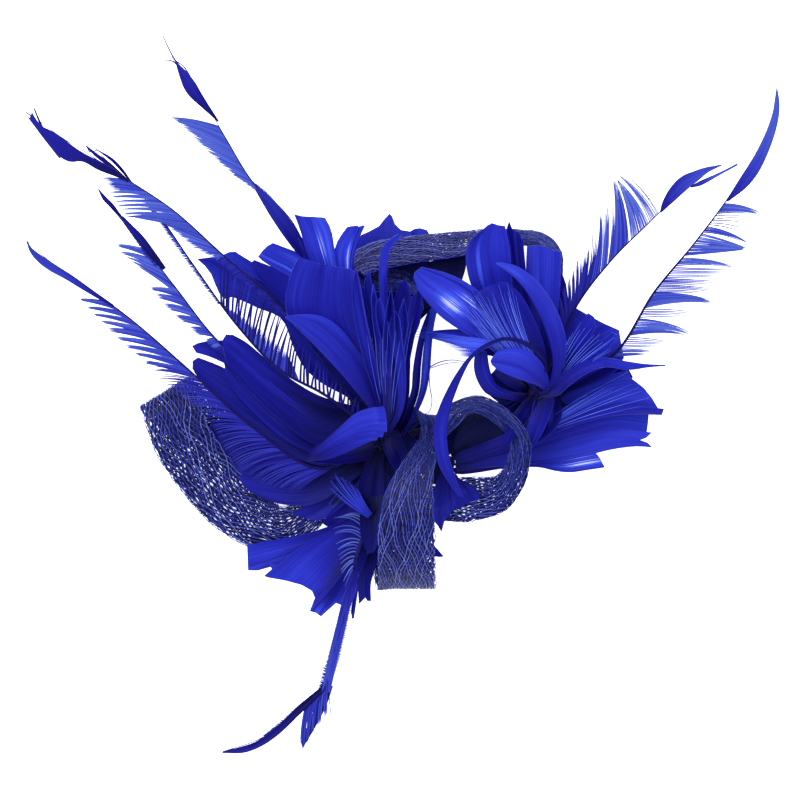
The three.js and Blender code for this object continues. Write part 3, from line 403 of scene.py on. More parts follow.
        sheet("13 12.6 12 12 | 545,404 549,420 546,432 | 536,441 526,437 517,428 | 536,404 530,412 522,420",
            0.2, wave=0.2),
        sheet("14.4 14 13 12 | 556,396 562,412 556,428 | 540,442 531,440 524,434 | 543,402 545,416 536,427",
            0.34, wave=0.3),
        sheet("24.6 24 20 16 | 554,398 550,416 542,434 | 530,450 524,450 | 534,400 531,414 525,432", 0.36,
            wave=0.3, creases=[(0.5, 0.1)]),
        sheet("24.4 22 18 15 | 538,402 528,420 518,432 | 508,446 502,442 | 524,400 516,412 506,428", 0.24,
            wave=0.3, creases=[(0.4, -0.15)])], [
        fan("530,384 527,392 | 520,425 508,418 500,405 497,392", 7, 0.5, rise=(17, 18.5), width=0.22,
            bow=0.15)]),
    # Near-black sheets inside the ring: painted shade, the first with a painted highlight along one edge
    "right_petal_under": ("fan", [
        sheet("3.4 2 2 2 | 449,442 458,420 475,408 | 495,402 512,412 522,432 522,450 | 462,467 482,468.5 "
            "503,462", 0, wave=0.1, cup=0.3, glints=[(0.55, 0.97, 0.35, 0.04, 0.4)]),
        sheet("3.4 3 3 3 | 440,456 426,448 408,445 | 398,434 404,424 420,417 442,415 | 452,452 456,436 "
            "460,422", 0, wave=0.1),
        sheet("7.8 7.4 7 6.8 | 441,458 434,454 426,454 | 422,462 423,474 430,484 | 448,473 444,479 437,484",
            0, wave=0.1)]),
    "right_petal_far": ("right", [
        sheet("11.8 13 15 18 | 546,375 559,340 567,316 | 575,307.5 588,315 604,323.5 619,330 621,342 "
            "624,358 620,363 | 556,392 580,380 605,367", 0.39, wave=0.5,
            glints=[(0.9, 0.75, 0.15, 0.2, 0.12)]),
        sheet("10.8 12 14 16 | 548,385 575,365 600,350 | 622,352 623,362 615,372 | 550,396 575,390 600,380",
            0.3, wave=0.3),
        sheet("10 9.4 10 11 | 548,384 575,368 605,364 | 628,368 633,377 628,385 | 550,404 565,406 592,398",
            0.22, wave=0.2)]),
    "right_petal_fold": ("right", [
        sheet("19 25 30 34 | 548,378 562,352 578,328 | 588,313 594,317 596,326 | 553,384 574,360 590,340",
            0.38, wave=0.2, columns=12),
        sheet("19.6 26 30 33 | 551,384 575,362 598,345 | 612,332 617,335 615,341 | 555,390 582,369 604,353",
            0.46, wave=0.2, columns=12, creases=[(0.5, -0.1)])], [
        fan("551,386 555,388 | 572,330 585,320 595,328 604,330 612,340 616,336 618,348", 14, 0.9,
            rise=(22, 33), width=0.26, bow=0.06)]),
    "right_petal_point": ("right", [
        sheet("24.6 27 29 30.4 29 25 | 554,384 566,371 582,362 602,357.5 625,361 645,364 | 666,365 665,366 "
            "| 557,396 570,385 588,373 606,367 628,370 648,367.5", 0.46, wave=0.1, cup=0.6, columns=14,
            creases=[(0.45, 0.08)], glints=[(0.75, 0.4, 0.2, 0.4, 0.12)])]),
    "right_petal_fan": ("fan", [
        sheet("7 5 4.4 7 9.6 12 14 | 452,456 480,444 510,432 535,420 560,398 585,382 610,374 | 627,371 "
            "631,378 637,382.5 644,388 652,398 658,408 664,409 662,415 649,412.5 | 454,464 485,458 515,448 "
            "545,437 580,424 615,415", 0.42, wave=0.3, cup=-0.8,
            glints=[(0.75, 0.35, 0.25, 0.25, 0.12), (0.9, 0.8, 0.15, 0.15, -0.1)], creases=[(0.62, 0.1)])], [
        fan("528,441 530,438 | 585,396 606,388 625,384 640,386 648,396 650,404", 12, 0.85, rise=(7, 14),
            width=0.24, bow=0.05),
        fan("546,421 575,400 614,380 | 563,409 593,391 630,371", 24, 0.75, rise=(10, 15.4), width=0.34,
            bow=0.0)]),
    "right_petal_skirt": ("fan", [
        sheet("4.9 3.6 2.8 3.6 4.6 5 | 452,458 485,452 515,443 545,430 580,417 615,408 | 649,411 648,424 "
            "646.5,434 652,432.5 646,438 640,440 648,443 652.5,447.5 | 454,470 490,467 525,464 560,461 "
            "585,456 612,449.5 636,446.5", 0.44, wave=0.3, cup=0.5, creases=[(0.35, 0.1)],
            glints=[(0.9, 0.5, 0.14, 0.3, 0.1), (0.5, 0.85, 0.4, 0.2, 0.12)])]),
    "right_petal_tail": ("fan", [
        sheet("2.6 1.4 1 1.6 2.4 | 454,468 500,465 530,463 555,461 575,457 | 596,453 600,458 605,467.5 | "
            "456,474 510,468 540,467.5 555,471 570,472.5 588,470", 0.5, wave=0.1, cup=0.2, columns=40,
            glints=[(0.88, 0.35, 0.14, 0.3, 1.0)])]),
    "lower_petal_side": ("lower", [
        sheet("9.4 9 8.4 7 | 360,532 330,553 300,564 283,568 | 272,569 268,563 258,570.5 248,570.5 "
            "247.5,558 247,545 | 358,515 335,524 305,534 275,540", 0.44, wave=0.3, creases=[(0.6, 0.08)],
            glints=[(0.85, 0.7, 0.2, 0.3, 0.06)])]),
    "lower_petal_broad": ("lower", [
        sheet("11.5 12 12 10 9 | 366,530 353,560 338,580 323,598 | 310,610 313,603 315,598 312,591 302,585 "
            "285,580.5 268,577.5 264,576 | 358,518 325,533 296,550 277,565", 0.46, wave=0.5, cup=1.2,
            glints=[(0.5, 0.1, 0.5, 0.28, -0.3), (0.85, 0.5, 0.2, 0.3, 0.1)])]),
    "lower_petal_square": ("lower", [
        sheet("7.8 7 5 3 | 374,528 366,560 352,590 | 341,605 336,603 327,611 321,616.5 316,613 309.5,611 | "
            "366,528 345,560 326,590", 0.4, wave=0.2, glints=[(0.98, 0.6, 0.12, 0.5, 0.3)])]),
    "lower_petal_dark": ("lower", [
        sheet("6.2 4.6 3 1.5 | 378,530 377.5,560 371,583 | 371,601 367.5,601 365.5,597.5 362,601 359,604 | "
            "368,530 358,560 358,585", 0.24, wave=0.1),
        sheet("6.6 5.4 4 3 | 366,540 358,590 | 354,618 352,619 351,612 | 363,540 354,590", 0.4, wave=0.1,
            columns=6)]),
    "lower_petal_streak": ("lower", [
        sheet("15.7 16.4 18 21 23 | 370,519 361,513 351,503 340,492 | 330,481 333,479 330,477 336,476 "
            "341,479 | 371.5,518 375,508 366,497 353,486", 0.1, wave=0.2, columns=12, free=True),
        sheet("15 15.4 15.4 15 | 392,494 392,508 388,524 | 374,552 367,554 | 362,498 360,516 361,536", 0.14,
            wave=0.1, free=True)], [
        fan("368,518 372,514 | 325,486 328,478 336,474 345,478 356,486", 15, 0.62, rise=(16.6, 24),
            width=0.3, bow=0.06)]),
    "lower_petal_scrap": ("fan", [
        sheet("7.4 9 10 9 | 456,474 464,488 470,498 | 468,503 452,511 444,522 441.5,532 438,526 433,520 | "
            "440,474 434,490 432,505", 0.36, wave=0.3, creases=[(0.35, -0.12)]),
        sheet("7 8 8.6 8 | 452,474 462,480 476,488 | 480,497 472,505 460,508 | 448,476 452,490 456,500", 0.3,
            wave=0.2, creases=[(0.5, -0.12)])]),
    "lower_petal_spike": ("lower", [
        sheet("5.8 5 4.8 4.6 | 388,508 408,505 424,508 | 434,516 434,532 426,542 | 384,524 400,540 414,546",
            0.05, wave=0.1),
        sheet("5.8 4.8 4.6 4.6 | 390,520 412,533 430,542 | 444,556.5 440,557 | 384,526 408,545 428,555",
            0.34, wave=0.1, columns=10)]),
}

# Ribbon loops: for each section its centre, the direction of the ribbon's width, and the width there
LOOPS = {
    "sinamay_loop_left": places(
        "-6.6,3,8,0,1,0,3.6 -13.4,4.4,7.8,0,1,0,6 -25,6.5,4,-0.2,1,0,13 -42,9,3,-0.1,1,0,16 "
        "-54,12,2.2,0.5,1,0,18 -61.5,18,4,0.86,0.5,0,18 -63.5,20.5,8,0.86,0.5,0,18 "
        "-62,17,11.5,0.9,0.45,0.1,18 -58.5,7,10.5,1,0.4,0.15,18.5 -50.5,-5.5,7.6,0.8,0.6,0.2,18.5 "
        "-40.5,-15.5,5,0.6,0.8,0.15,18 -29,-21,3,0.2,1,0.1,15 -15,-13,6,-0.5,1,0,7 "
        "-8.6,-6.4,8.2,-0.6,1,0,4"),
    "sinamay_loop_top": places(
        "-5,9.6,7.6,1,0.3,0,4 -4.6,20,6.8,1,0,0.1,6 1,33,8.6,1,-0.2,0.7,9 9.5,43,12.5,0.4,-0.4,1,13 "
        "13,49,14,0.2,-0.5,1,14 9,53.5,14,0,-0.5,1,15 0,54,14,0,-0.5,1,16 -6.5,57,14,0.2,-0.5,1,17 "
        "-1,61,14,0,-0.6,1,18 9,63,14,0,-0.55,1,18 24,65,13,0,-0.5,1,18 39,67,11,0,-0.36,1,17 "
        "50,66,9.5,-0.2,-0.3,1,15 54,61.5,8,-0.5,-0.1,1,12 53,45,7,-0.5,0,1,9 51,25,8.6,1,0,0.3,4"),
    "sinamay_ring_right": places(
        "10.5,-6.4,8,0.4,1,0,4 17,-12,6,0.3,1,0.1,9 28,-12,7,0,1,-0.7,17 38,-10,9,-0.3,0.7,-1,17.4 "
        "43,-2,13,-0.4,0.1,-1,17.4 43.4,6,16,-0.25,-0.2,-1,17.4 38,13,18.5,-0.15,-0.3,-1,17.4 "
        "31,16.6,19.5,0,-0.35,-1,17 24,14.6,17.6,0.3,-0.3,-1,13 20.6,10,13,0.9,-0.4,-0.3,6 "
        "16,5.2,11,0.6,-1,0,4 11.6,3.2,9,0.3,-1,0,3.6"),
    "sinamay_loop_centre": places(
        "8.6,9.6,9.6,0.6,-1,0,4 13,13.6,13,0.8,-0.6,0.2,6 16.4,12,18,1,0,0.1,6 16.4,6,23,1,0.1,0,6.4 "
        "13,-2,26,1,0.1,0,10 10.4,-11,27,1,0.05,0,15 9.6,-21,25,1,0,0,17.3 9.6,-31,18,1,-0.02,0,17.5 "
        "9.8,-37.5,9.5,1,-0.03,0,17.5 9.4,-38.6,3.4,1,0,0,17.5 8,-34,1.1,1,0,0,17.5 6.4,-24,2.2,1,0,0,12 "
        "5,-14.6,7,1,0,0,6 4,-9,8,1,0,0,4"),
}

# Plumes: shaft route in millimetres, shaft radii at foot and tip, closed leaves, stretches of barbs whose
# feet lie between two places on the shaft, and loose hairs
PLUMES = {
    "plume_left_top": (
        places("-1,10.6,12.6 -11,38,17.5 -21,64,24 -26,73,28 -36,82.5,33 -45.3,97.5,38 -50.4,106.2,41 "
            "-57.6,115.2,44 -61,121,46"),
        (0.55, 0.1), [
        leaf("218,122 209,114 200,106 190,97 184,88.5 179,75 | 175,61 177,62 | 219,121 210,107 202,94 "
            "195,82 187,72", 0.34),
        leaf("316,264 302,258 285,238 269,214 | 255,190 258,188 | 319,259 305,242 289,218 271,198", 0.38)], [
        fan("219.4,126 258,193 | 170,117 177,122 189,134 204,149 213,158 228,172 249,187 257,192", 66, 0.7,
            width=0.5, bow=0.1, sweep=1.9),
        fan("256,190 318,266 | 252,186 262,202 275,219 284,233 286,238 300,254", 54, 0.42, width=0.5),
        fan("252,184 316,262 | 251,180 264,188 280,207 292,225 301,240 309,254", 54, 0.42, width=0.5)], [
        wire("44 46 48 | 180,68 171,53 163,36", 0.45, 0.25),
        wire("44 45 46 | 180,68 172,61 162,60", 0.4, 0.25),
        wire("43 45 46 | 190,76 184,67 175,60", 0.4, 0.25)]),
    "plume_left_upper": (
        places("-1.4,9.8,14.6 -28,46,25 -45.6,61.5,33 -60.6,75,38.5 -74,84,42 -84,90.5,44 -95,97.5,46 "
            "-101,102,47"),
        (0.55, 0.1), [
        leaf("128,182 115,176.5 98,170 82,161.5 70,162 60,157 48,144 38,131 | 29,119 32,112 | 129,180 "
            "111,167 96,159.5 78,149.5 64,139 52,131 42,126 36,119", 0.3)], [
        fan("130,181 150,191 | 101,177 104,184 110,190", 16, 0.6, width=0.4),
        fan("148,190 186,219 | 109,190 112,196 115,204 121,210 124,216", 40, 0.72, width=0.42, locks=6,
            gather=0.75),
        fan("184,217 222,258 | 124,216 142,219 159,221 167,226 177,235 190,246 203,254 216,260", 66, 0.66,
            width=0.52, bow=0.1, sweep=1.7),
        fan("222,258 296,320 | 216,261 235,277 262,298 285,316", 56, 0.36, width=0.4)], [
        wire("46 47 47.6 | 38,126 33,118 26,112", 0.5, 0.2),
        wire("45 47 48 | 42,127 38,118 34,108", 0.6, 0.2),
        wire("44 45.6 46.4 | 60,158 44,138 28,117", 0.5, 0.2)]),
    "plume_left_inner": (
        places("-0.6,8.6,17.4 -15,19.5,21.5 -28.5,27,25 -41.5,40.5,27 -54.5,58.5,29 -65.6,74.4,33 "
            "-79.5,89,38 -84,93,39.4"),
        (0.6, 0.12), [
        leaf("131,184 118,174 108,166 96,157 | 85,145.5 87,146 | 131.5,183 119,171 109,162 99,155", 0.32),
        leaf("131,183 120,170 110,160 | 94,148 96,149 | 132,182 122,168 112,158", 0.3)], [
        fan("150,206 222,303 | 144,201 158,223 175,248 186,262 191,270 205,289 217,304", 76, 0.52,
            width=0.4),
        fan("226,310 298,384 | 223,304 237,313 251,322 263,331 275,341 286,350 293,366", 70, 0.6, width=0.5,
            bow=0.02),
        fan("224,304 366,408 | 220,257 226,257 234,262 244,268 255,278 267,290 278,302 286,316 296,332 "
            "308,350 322,366 345,388 361,402", 44, 0.22, width=0.66, bow=0.06, lift=0.12, uneven=0.6)], [
        wire("39 40 40.5 | 87,147 90,152 97,150", 0.28, 0.35)]),
    "plume_left_middle": (
        places("-0.6,7.8,12.8 -30,22,15.4 -46.8,35.4,19 -59.7,51.6,24 -69.6,64.5,27 -75.6,71.4,29 "
            "-82.4,80.4,31"),
        (0.55, 0.1), [
        leaf("126,224 118,216 110,207 103,199.5 | 98,189 99,189 | 126.5,222.5 120,213.5 113,204 106,197",
            0.24),
        leaf("163,270 150,257 138,243 128,228 | 120,217 123,216 | 166,268 155,252 143,236 132,225", 0.2)], [
        fan("128,225 160,264 | 122,221 132,236 142,252 154,266", 40, 0.3, width=0.4),
        fan("148,249 184,300 | 115,242 117,247 120,253 126,257 140,268", 44, 0.66, width=0.42, locks=5,
            gather=0.6),
        fan("178,291 222,346 | 149,287 154,293 168,310 182,322 196,334 217,352", 60, 0.62, width=0.46,
            locks=6, gather=0.4, sweep=1.5),
        fan("222,346 262,372 | 214,349 236,366 258,378", 26, 0.4, width=0.4)], []),
    "plume_left_long": (
        places("-0.4,4.4,12 -16.5,-2.6,13.6 -37.5,10.5,15.6 -55.8,27,19 -72.6,41.7,23 -86.4,52,26 -98,60,29 "
            "-104,65.4,31"),
        (0.6, 0.12), [
        leaf("113,307 95,297 83,290 65,279 50,271 38,262 30,252 | 26.3,241 27.3,240.6 | 114,305 92,289.5 "
            "74,276.5 53,263 38,253 31,247", 0.56)], [
        fan("108,302 152,337 | 76,296 80,300 90,312 99,320 104,325", 34, 0.62, width=0.42, locks=4,
            gather=0.7),
        fan("148,334 200,379 | 104,325 110,333 117,339 126,347 138,356 148,366", 46, 0.6, width=0.46,
            locks=5, gather=0.6),
        fan("196,375 340,484 | 148,366 157,380 174,393 190,404 203,417 215,433 226,453 240,472 264,485 "
            "296,492", 104, 0.4, width=0.36, bow=0.2, lift=0.03, uneven=0.7)], []),
    "plume_right_upper": (
        places("51.5,26,17.4 60.3,45.9,22 71,60,28 81,70,33 88,76.8,36 95,82.6,38 96.5,83.6,38.4"),
        (0.45, 0.16), [
        leaf("660,212 662,203 668,191 676,181 684,175 693,171.5 703,168 | 721,164.6 722,165.6 | 661,213 "
            "670,205 680,196 690,187 699,180 708,172.5", 0.56),
        leaf("690,186.5 700,181 717,173.5 | 737,163.5 738,165 | 691,187.6 701,185.4 718,176", 0.66)], [
        fan("658,213 657,214 | 624,173 625,174", 2, 0.5, width=0.24),
        fan("655,215 649,221 | 618,173 619,175", 6, 0.7, width=0.34),
        fan("648,223 632,240 | 616,177 617,180", 16, 0.74, width=0.34),
        fan("629,243 612,260 | 616,181 613,179", 17, 0.62, width=0.34),
        fan("611,261 608,264 | 613,199 611,203", 4, 0.55, width=0.28),
        fan("606,266 601,272 | 607,200 605,205 602,208", 7, 0.66, width=0.36),
        fan("599,274 590,284 | 601,210 600,218", 10, 0.6, width=0.34),
        fan("589,286 583,293 | 598,225 592,229 593,238", 8, 0.36, width=0.4),
        fan("582,294 575,304 | 589,245 588,250 580,257", 10, 0.34, width=0.46),
        fan("574,306 558,332 | 579,255 575,264 567,281 556,300", 20, 0.34, width=0.44, locks=5,
            gather=0.5)], []),
    "plume_right_long": (
        places("53,23,15 71,31,19 84,50.7,25 95.4,64.5,30 105.3,77.7,34 114.6,92,38 118.5,100.5,40 "
            "120.5,111.5,43"),
        (0.62, 0.1), [
        leaf("725,202 740,178 755,154 767,129 773.5,108 | 776.5,87 777.5,90 | 729,201 746,188 757,175 "
            "765,160 773,140 778.5,119 779.5,103", 0.64)], [
        fan("725,204 719,213 | 760,212 757,214", 9, 0.66, width=0.42),
        fan("718,215 716,217 | 757,215 753,218", 2, 0.5, width=0.34),
        fan("714,220 709,225 | 752,219 748,233 747,235", 4, 0.5, width=0.34),
        fan("708,227 703,232 | 748,242 748,244", 5, 0.62, width=0.4),
        fan("702,234 685,256 | 747,248 744,250", 15, 0.68, width=0.42, sag=0.08),
        fan("683,259 677,267 | 735,267 733,268", 6, 0.66, width=0.4),
        fan("676,269 667,278 | 733,269 722,276", 7, 0.62, width=0.36, sag=0.1),
        fan("666,280 662,284 | 725,282 712,286", 4, 0.58, width=0.42, sag=0.08),
        fan("661,286 655,292 | 720,290 706,294", 5, 0.56, width=0.42, sag=0.06),
        fan("654,294 643,307 | 713,301 711,303", 11, 0.7, width=0.44),
        fan("642,309 637,316 | 700,313 690,318", 5, 0.56, width=0.38, sag=0.05),
        fan("636,318 626,334 | 692,333 688,335", 11, 0.68, width=0.44),
        fan("625,336 619,346 | 674,342 664,346", 6, 0.6, width=0.36, sag=0.08),
        fan("618,348 612,357 | 655,351 645,355", 6, 0.62, width=0.4, sag=0.05)], []),
    "plume_bottom": (
        places("-1.8,-18.5,13.2 -5.7,-29,15 -7.2,-38.7,11.5 -12,-56.4,8 -16.2,-68.4,5.5 -24,-77,4 "
            "-35.4,-84,3 -45,-87.2,2.4"),
        (0.6, 0.12), [
        leaf("322,693 300,714 278,735 260,747 243,753 | 222,753 223,751 | 321,687 298,706 276,727 257,741 "
            "240,747", 0.24),
        leaf("356,566 350,582 343,598 337,622 330,650 | 322,690 330,693 | 359,572 356,590 350,608 345,630 "
            "339,655", 0.56),
        leaf("325,686 318,702 310,720 | 301,742 303,748 | 333,686 327,704 317,724", 0.46)], [
        fan("367,522 356,568 | 346,514 333,518 331,526 334,534 335,542 338,551 339,561 341,573 345,587", 17,
            0.7, width=0.44, bow=-0.36, uneven=0.5),
        fan("351,590 322,690 | 346,590 338,612 330,646 322,668 318,688", 80, 0.5, width=0.4),
        fan("350,592 322,688 | 354,596 349,622 342,654 332,682", 80, 0.56, width=0.4),
        fan("326,672 303,706 | 329,712 322,722 314,731 308,742 304,752 298,748", 40, 0.5, width=0.34,
            bow=0.1, locks=5, gather=0.5),
        fan("312,702 270,736 | 302,701 288,712 262,736", 40, 0.3, width=0.36)], [
        wire("6 5 4 | 332,660 329,690 331,716", 0.3, 0.45)]),
}


def catmull(points, t):
    """Points of a centripetal Catmull-Rom curve through the given ones, at the parameters t from 0 to 1."""
    knots = np.array(points, float)
    knots = np.vstack([2 * knots[0] - knots[1], knots, 2 * knots[-1] - knots[-2]])
    spans = len(points) - 1
    place = np.clip(t, 0, 1) * spans
    low = np.minimum(place.astype(int), spans - 1)
    w = (place - low)[:, None]
    a, b, c, d = (knots[low + k] for k in range(4))
    runs = ((a, b), (b, c), (c, d))
    da, db, dc = (np.maximum(np.linalg.norm(q - p, axis=1), 1e-6)[:, None] ** 0.5 for p, q in runs)
    m0 = ((b - a) / da - (c - a) / (da + db) + (c - b) / db) * db
    m1 = ((c - b) / db - (d - b) / (db + dc) + (d - c) / dc) * db
    return b + m0 * w + (-3 * b + 3 * c - 2 * m0 - m1) * w**2 + (2 * b - 2 * c + m0 + m1) * w**3


def unit(v):
    return v / np.maximum(np.linalg.norm(v, axis=-1, keepdims=True), 1e-9)


def square_to(direction, axis):
    """The part of a direction that is square to an axis, at unit length."""
    return unit(direction - axis * np.sum(direction * axis, -1, keepdims=True))


def lengths(points):
    """Length run so far at each point of a line."""
    return np.concatenate([[0], np.cumsum(np.linalg.norm(np.diff(points, axis=0), axis=1))])


def columns_at(place, at, table):
    return np.stack([np.interp(place, at, table[:, k]) for k in range(table.shape[1])], -1)


def polyline(points, t):
    """Places along straight runs between points, by share of length, and the shares of the corners."""
    reach = lengths(points)
    share = reach / max(reach[-1], 1e-6)
    return columns_at(t, share, points), share


def smooth_line(points, t):
    """Places along a smooth curve through points, by share of length."""
    return polyline(catmull(points, np.linspace(0, 1, EDGE_STEPS)) if len(points) > 2 else points, t)[0]


def plan(spots, height=0.0):
    """Millimetre points, not yet drawn in, over places of the plan grid."""
    x = GRID * (spots[..., 0] - GRID_CENTRE[0])
    y = GRID * (GRID_CENTRE[1] - spots[..., 1])
    return np.stack([x, y, np.broadcast_to(height, x.shape)], -1)


def seen(points):
    """Points drawn towards the camera's axis, so that each shows over its place of the plan grid."""
    points = np.array(points)
    share = ((CAMERA_HEIGHT - points[..., 2]) / (CAMERA_HEIGHT - FOCUS_HEIGHT))[..., None]
    points[..., :2] = CAMERA_AT + (points[..., :2] - CAMERA_AT) * share
    return points


def random_for(name):
    return np.random.default_rng(sum(map(ord, name)))


class Spine:
    """A curve read by its share of length; beyond the ends it runs on straight."""

    def __init__(self, points):
        self.points = catmull(points, np.linspace(0, 1, SPINE_STEPS))
        self.reach = lengths(self.points)
        self.length = self.reach[-1]
        self.tangents = unit(np.gradient(self.points, self.reach, axis=0))

    def at(self, s):
        inside = np.clip(s, 0, 1)
        point = columns_at(inside * self.length, self.reach, self.points)
        return point + self.tangent(s) * ((s - inside) * self.length)[..., None]

    def tangent(self, s):
        return unit(columns_at(np.clip(s, 0, 1) * self.length, self.reach, self.tangents))

    def frame(self, s):
        """Left and face directions, square to the spine."""
        tangent = self.tangent(s)
        left = unit(np.cross(UP, tangent))
        return left, np.cross(tangent, left)


class Builder:
    """Collects closed shells and tubes, with their fibre coordinates and tones, into one mesh."""

    def __init__(self):
        self.verts, self.fibre, self.tones, self.faces, self.slots = [], [], [], [], []
        self.count = 0

    def add(self, verts, face_sets, fibre, tones, slot=0):
        for faces in face_sets:
            self.faces += (faces + self.count).tolist()
            self.slots += [slot] * len(faces)
        self.verts.append(verts.reshape(-1, 3))
        self.fibre.append(fibre.reshape(-1, 3))
        self.tones.append(tones.ravel())
        self.count += tones.size

    def shell(self, grid, fibre, tone, thickness):
        """A closed thin shell round a grid of points (rows, columns, 3)."""
        half = unit(np.cross(np.gradient(grid, axis=1), np.gradient(grid, axis=0))) * (thickness / 2)
        index = np.arange(tone.size).reshape(tone.shape)
        top = np.stack([index[:-1, :-1], index[:-1, 1:], index[1:, 1:], index[1:, :-1]], -1).reshape(-1, 4)
        ring = np.concatenate([index[0, :-1], index[:-1, -1], index[-1, :0:-1], index[:0:-1, 0]])
        after = np.roll(ring, -1)
        rim = np.stack([after, ring, ring + tone.size, after + tone.size], -1)
        self.add(np.stack([grid + half, grid - half]), [top, top[:, ::-1] + tone.size, rim],
                 np.stack([fibre, fibre]), np.stack([tone, tone]))

    def tubes(self, paths, wide, flat, width, thickness, fibre, tone, sides=4, slot=0):
        """Closed tubes along many paths at once (tubes, steps, 3), with section axes wide and flat."""
        shape = paths.shape[:2]
        turn = 2 * np.pi * (np.arange(sides) + 0.5) / sides
        scale = 1 / math.cos(math.pi / sides) if sides == 4 else 1.0
        w, h = (np.broadcast_to(size, shape)[..., None, None] / 2 * scale for size in (width, thickness))
        ring = (paths[:, :, None, :] + wide[:, :, None, :] * np.cos(turn)[None, None, :, None] * w
                + flat[:, :, None, :] * np.sin(turn)[None, None, :, None] * h)
        index = np.arange(ring[..., 0].size).reshape(*shape, sides)
        a, b = index[:, :-1], index[:, 1:]
        quads = np.stack([a, np.roll(a, -1, 2), np.roll(b, -1, 2), b], -1).reshape(-1, 4)
        self.add(ring, [quads, index[:, 0, ::-1], index[:, -1]], np.repeat(fibre[:, :, None], sides, 2),
                 np.repeat(np.broadcast_to(tone, shape)[..., None], sides, 2), slot)

    def build(self, name, materials):
        mesh = bpy.data.meshes.new(name)
        mesh.from_pydata((np.concatenate(self.verts) * MM).tolist(), [], self.faces)
        for layer, kind, key, values in (("fibre", "FLOAT_VECTOR", "vector", self.fibre),
                                         ("tone", "FLOAT", "value", self.tones)):
            made = mesh.attributes.new(layer, kind, "POINT")
            made.data.foreach_set(key, np.concatenate(values).astype(np.float32).ravel())
        for material in materials:
            mesh.materials.append(material)
        mesh.polygons.foreach_set("material_index", np.array(self.slots, np.int32))
        mesh.polygons.foreach_set("use_smooth", np.full(len(self.faces), True))
        mesh.set_sharp_from_angle(angle=SHARP_ANGLE)
        mesh.update()
        piece = bpy.data.objects.new(name, mesh)
        bpy.context.scene.collection.objects.link(piece)
        return piece


def sheet_relief(look, t, c, width, phase):
    """Height that cup, waves and creases add to a sheet, at shares t of its length and c of its width."""
    bend = 2 * c - 1
    height = look.get("cup", CUP) * width * (bend**2 - CUP_LEVEL)
    height = height + look.get("wave", WAVE) * t * (
        np.sin(WAVE_TURNS[0] * t + WAVE_TURNS[1] * bend + phase[0])
        + 0.5 * np.sin(RIPPLE_TURNS[1] * bend + phase[1] + RIPPLE_TURNS[0] * t))
    for at_c, dark in look.get("creases", ()):
        height = height - np.sign(dark) * CREASE_DEPTH * np.exp(-((c - at_c) / CREASE_WIDTH) ** 2) * t
    return height


def sheet_tone(look, tone, t, c, rng):
    """Tone of a sheet: painted shade at the root and in creases, painted light at thin edges, painted light
    and shade patches.
    """
    # Painted shade darkens the root; painted light brightens the thin side edges and the tip
    tone = tone + TONE_RISE * (t - TONE_LEVEL) + 0 * c - ROOT_SHADE * (1 - t) ** 3
    tone = tone + EDGE_LIGHT * (np.exp(-(1 - np.abs(2 * c - 1)) / SIDE_EDGE) + np.exp(-(1 - t) / TIP_EDGE))
    # Painted shade along each crease; a negative amount paints a highlight on the ridge instead
    for at_c, dark in look.get("creases", ()):
        tone = tone - dark * np.exp(-((c - at_c) / CREASE_SHADE_WIDTH) ** 2) * np.clip(t * 4, 0, 1)
    # Painted highlights in patches, broken in streaks when strong; a negative amount paints shade instead
    for at_t, at_c, wide_t, wide_c, amount in look.get("glints", ()):
        streak = 1.0 if amount < STREAKY else np.clip(rng.uniform(*STREAK_RANGE, c.size), 0, None)
        tone = tone + streak * amount * np.exp(-((t - at_t) / wide_t) ** 2 - ((c - at_c) / wide_c) ** 2)
    return tone


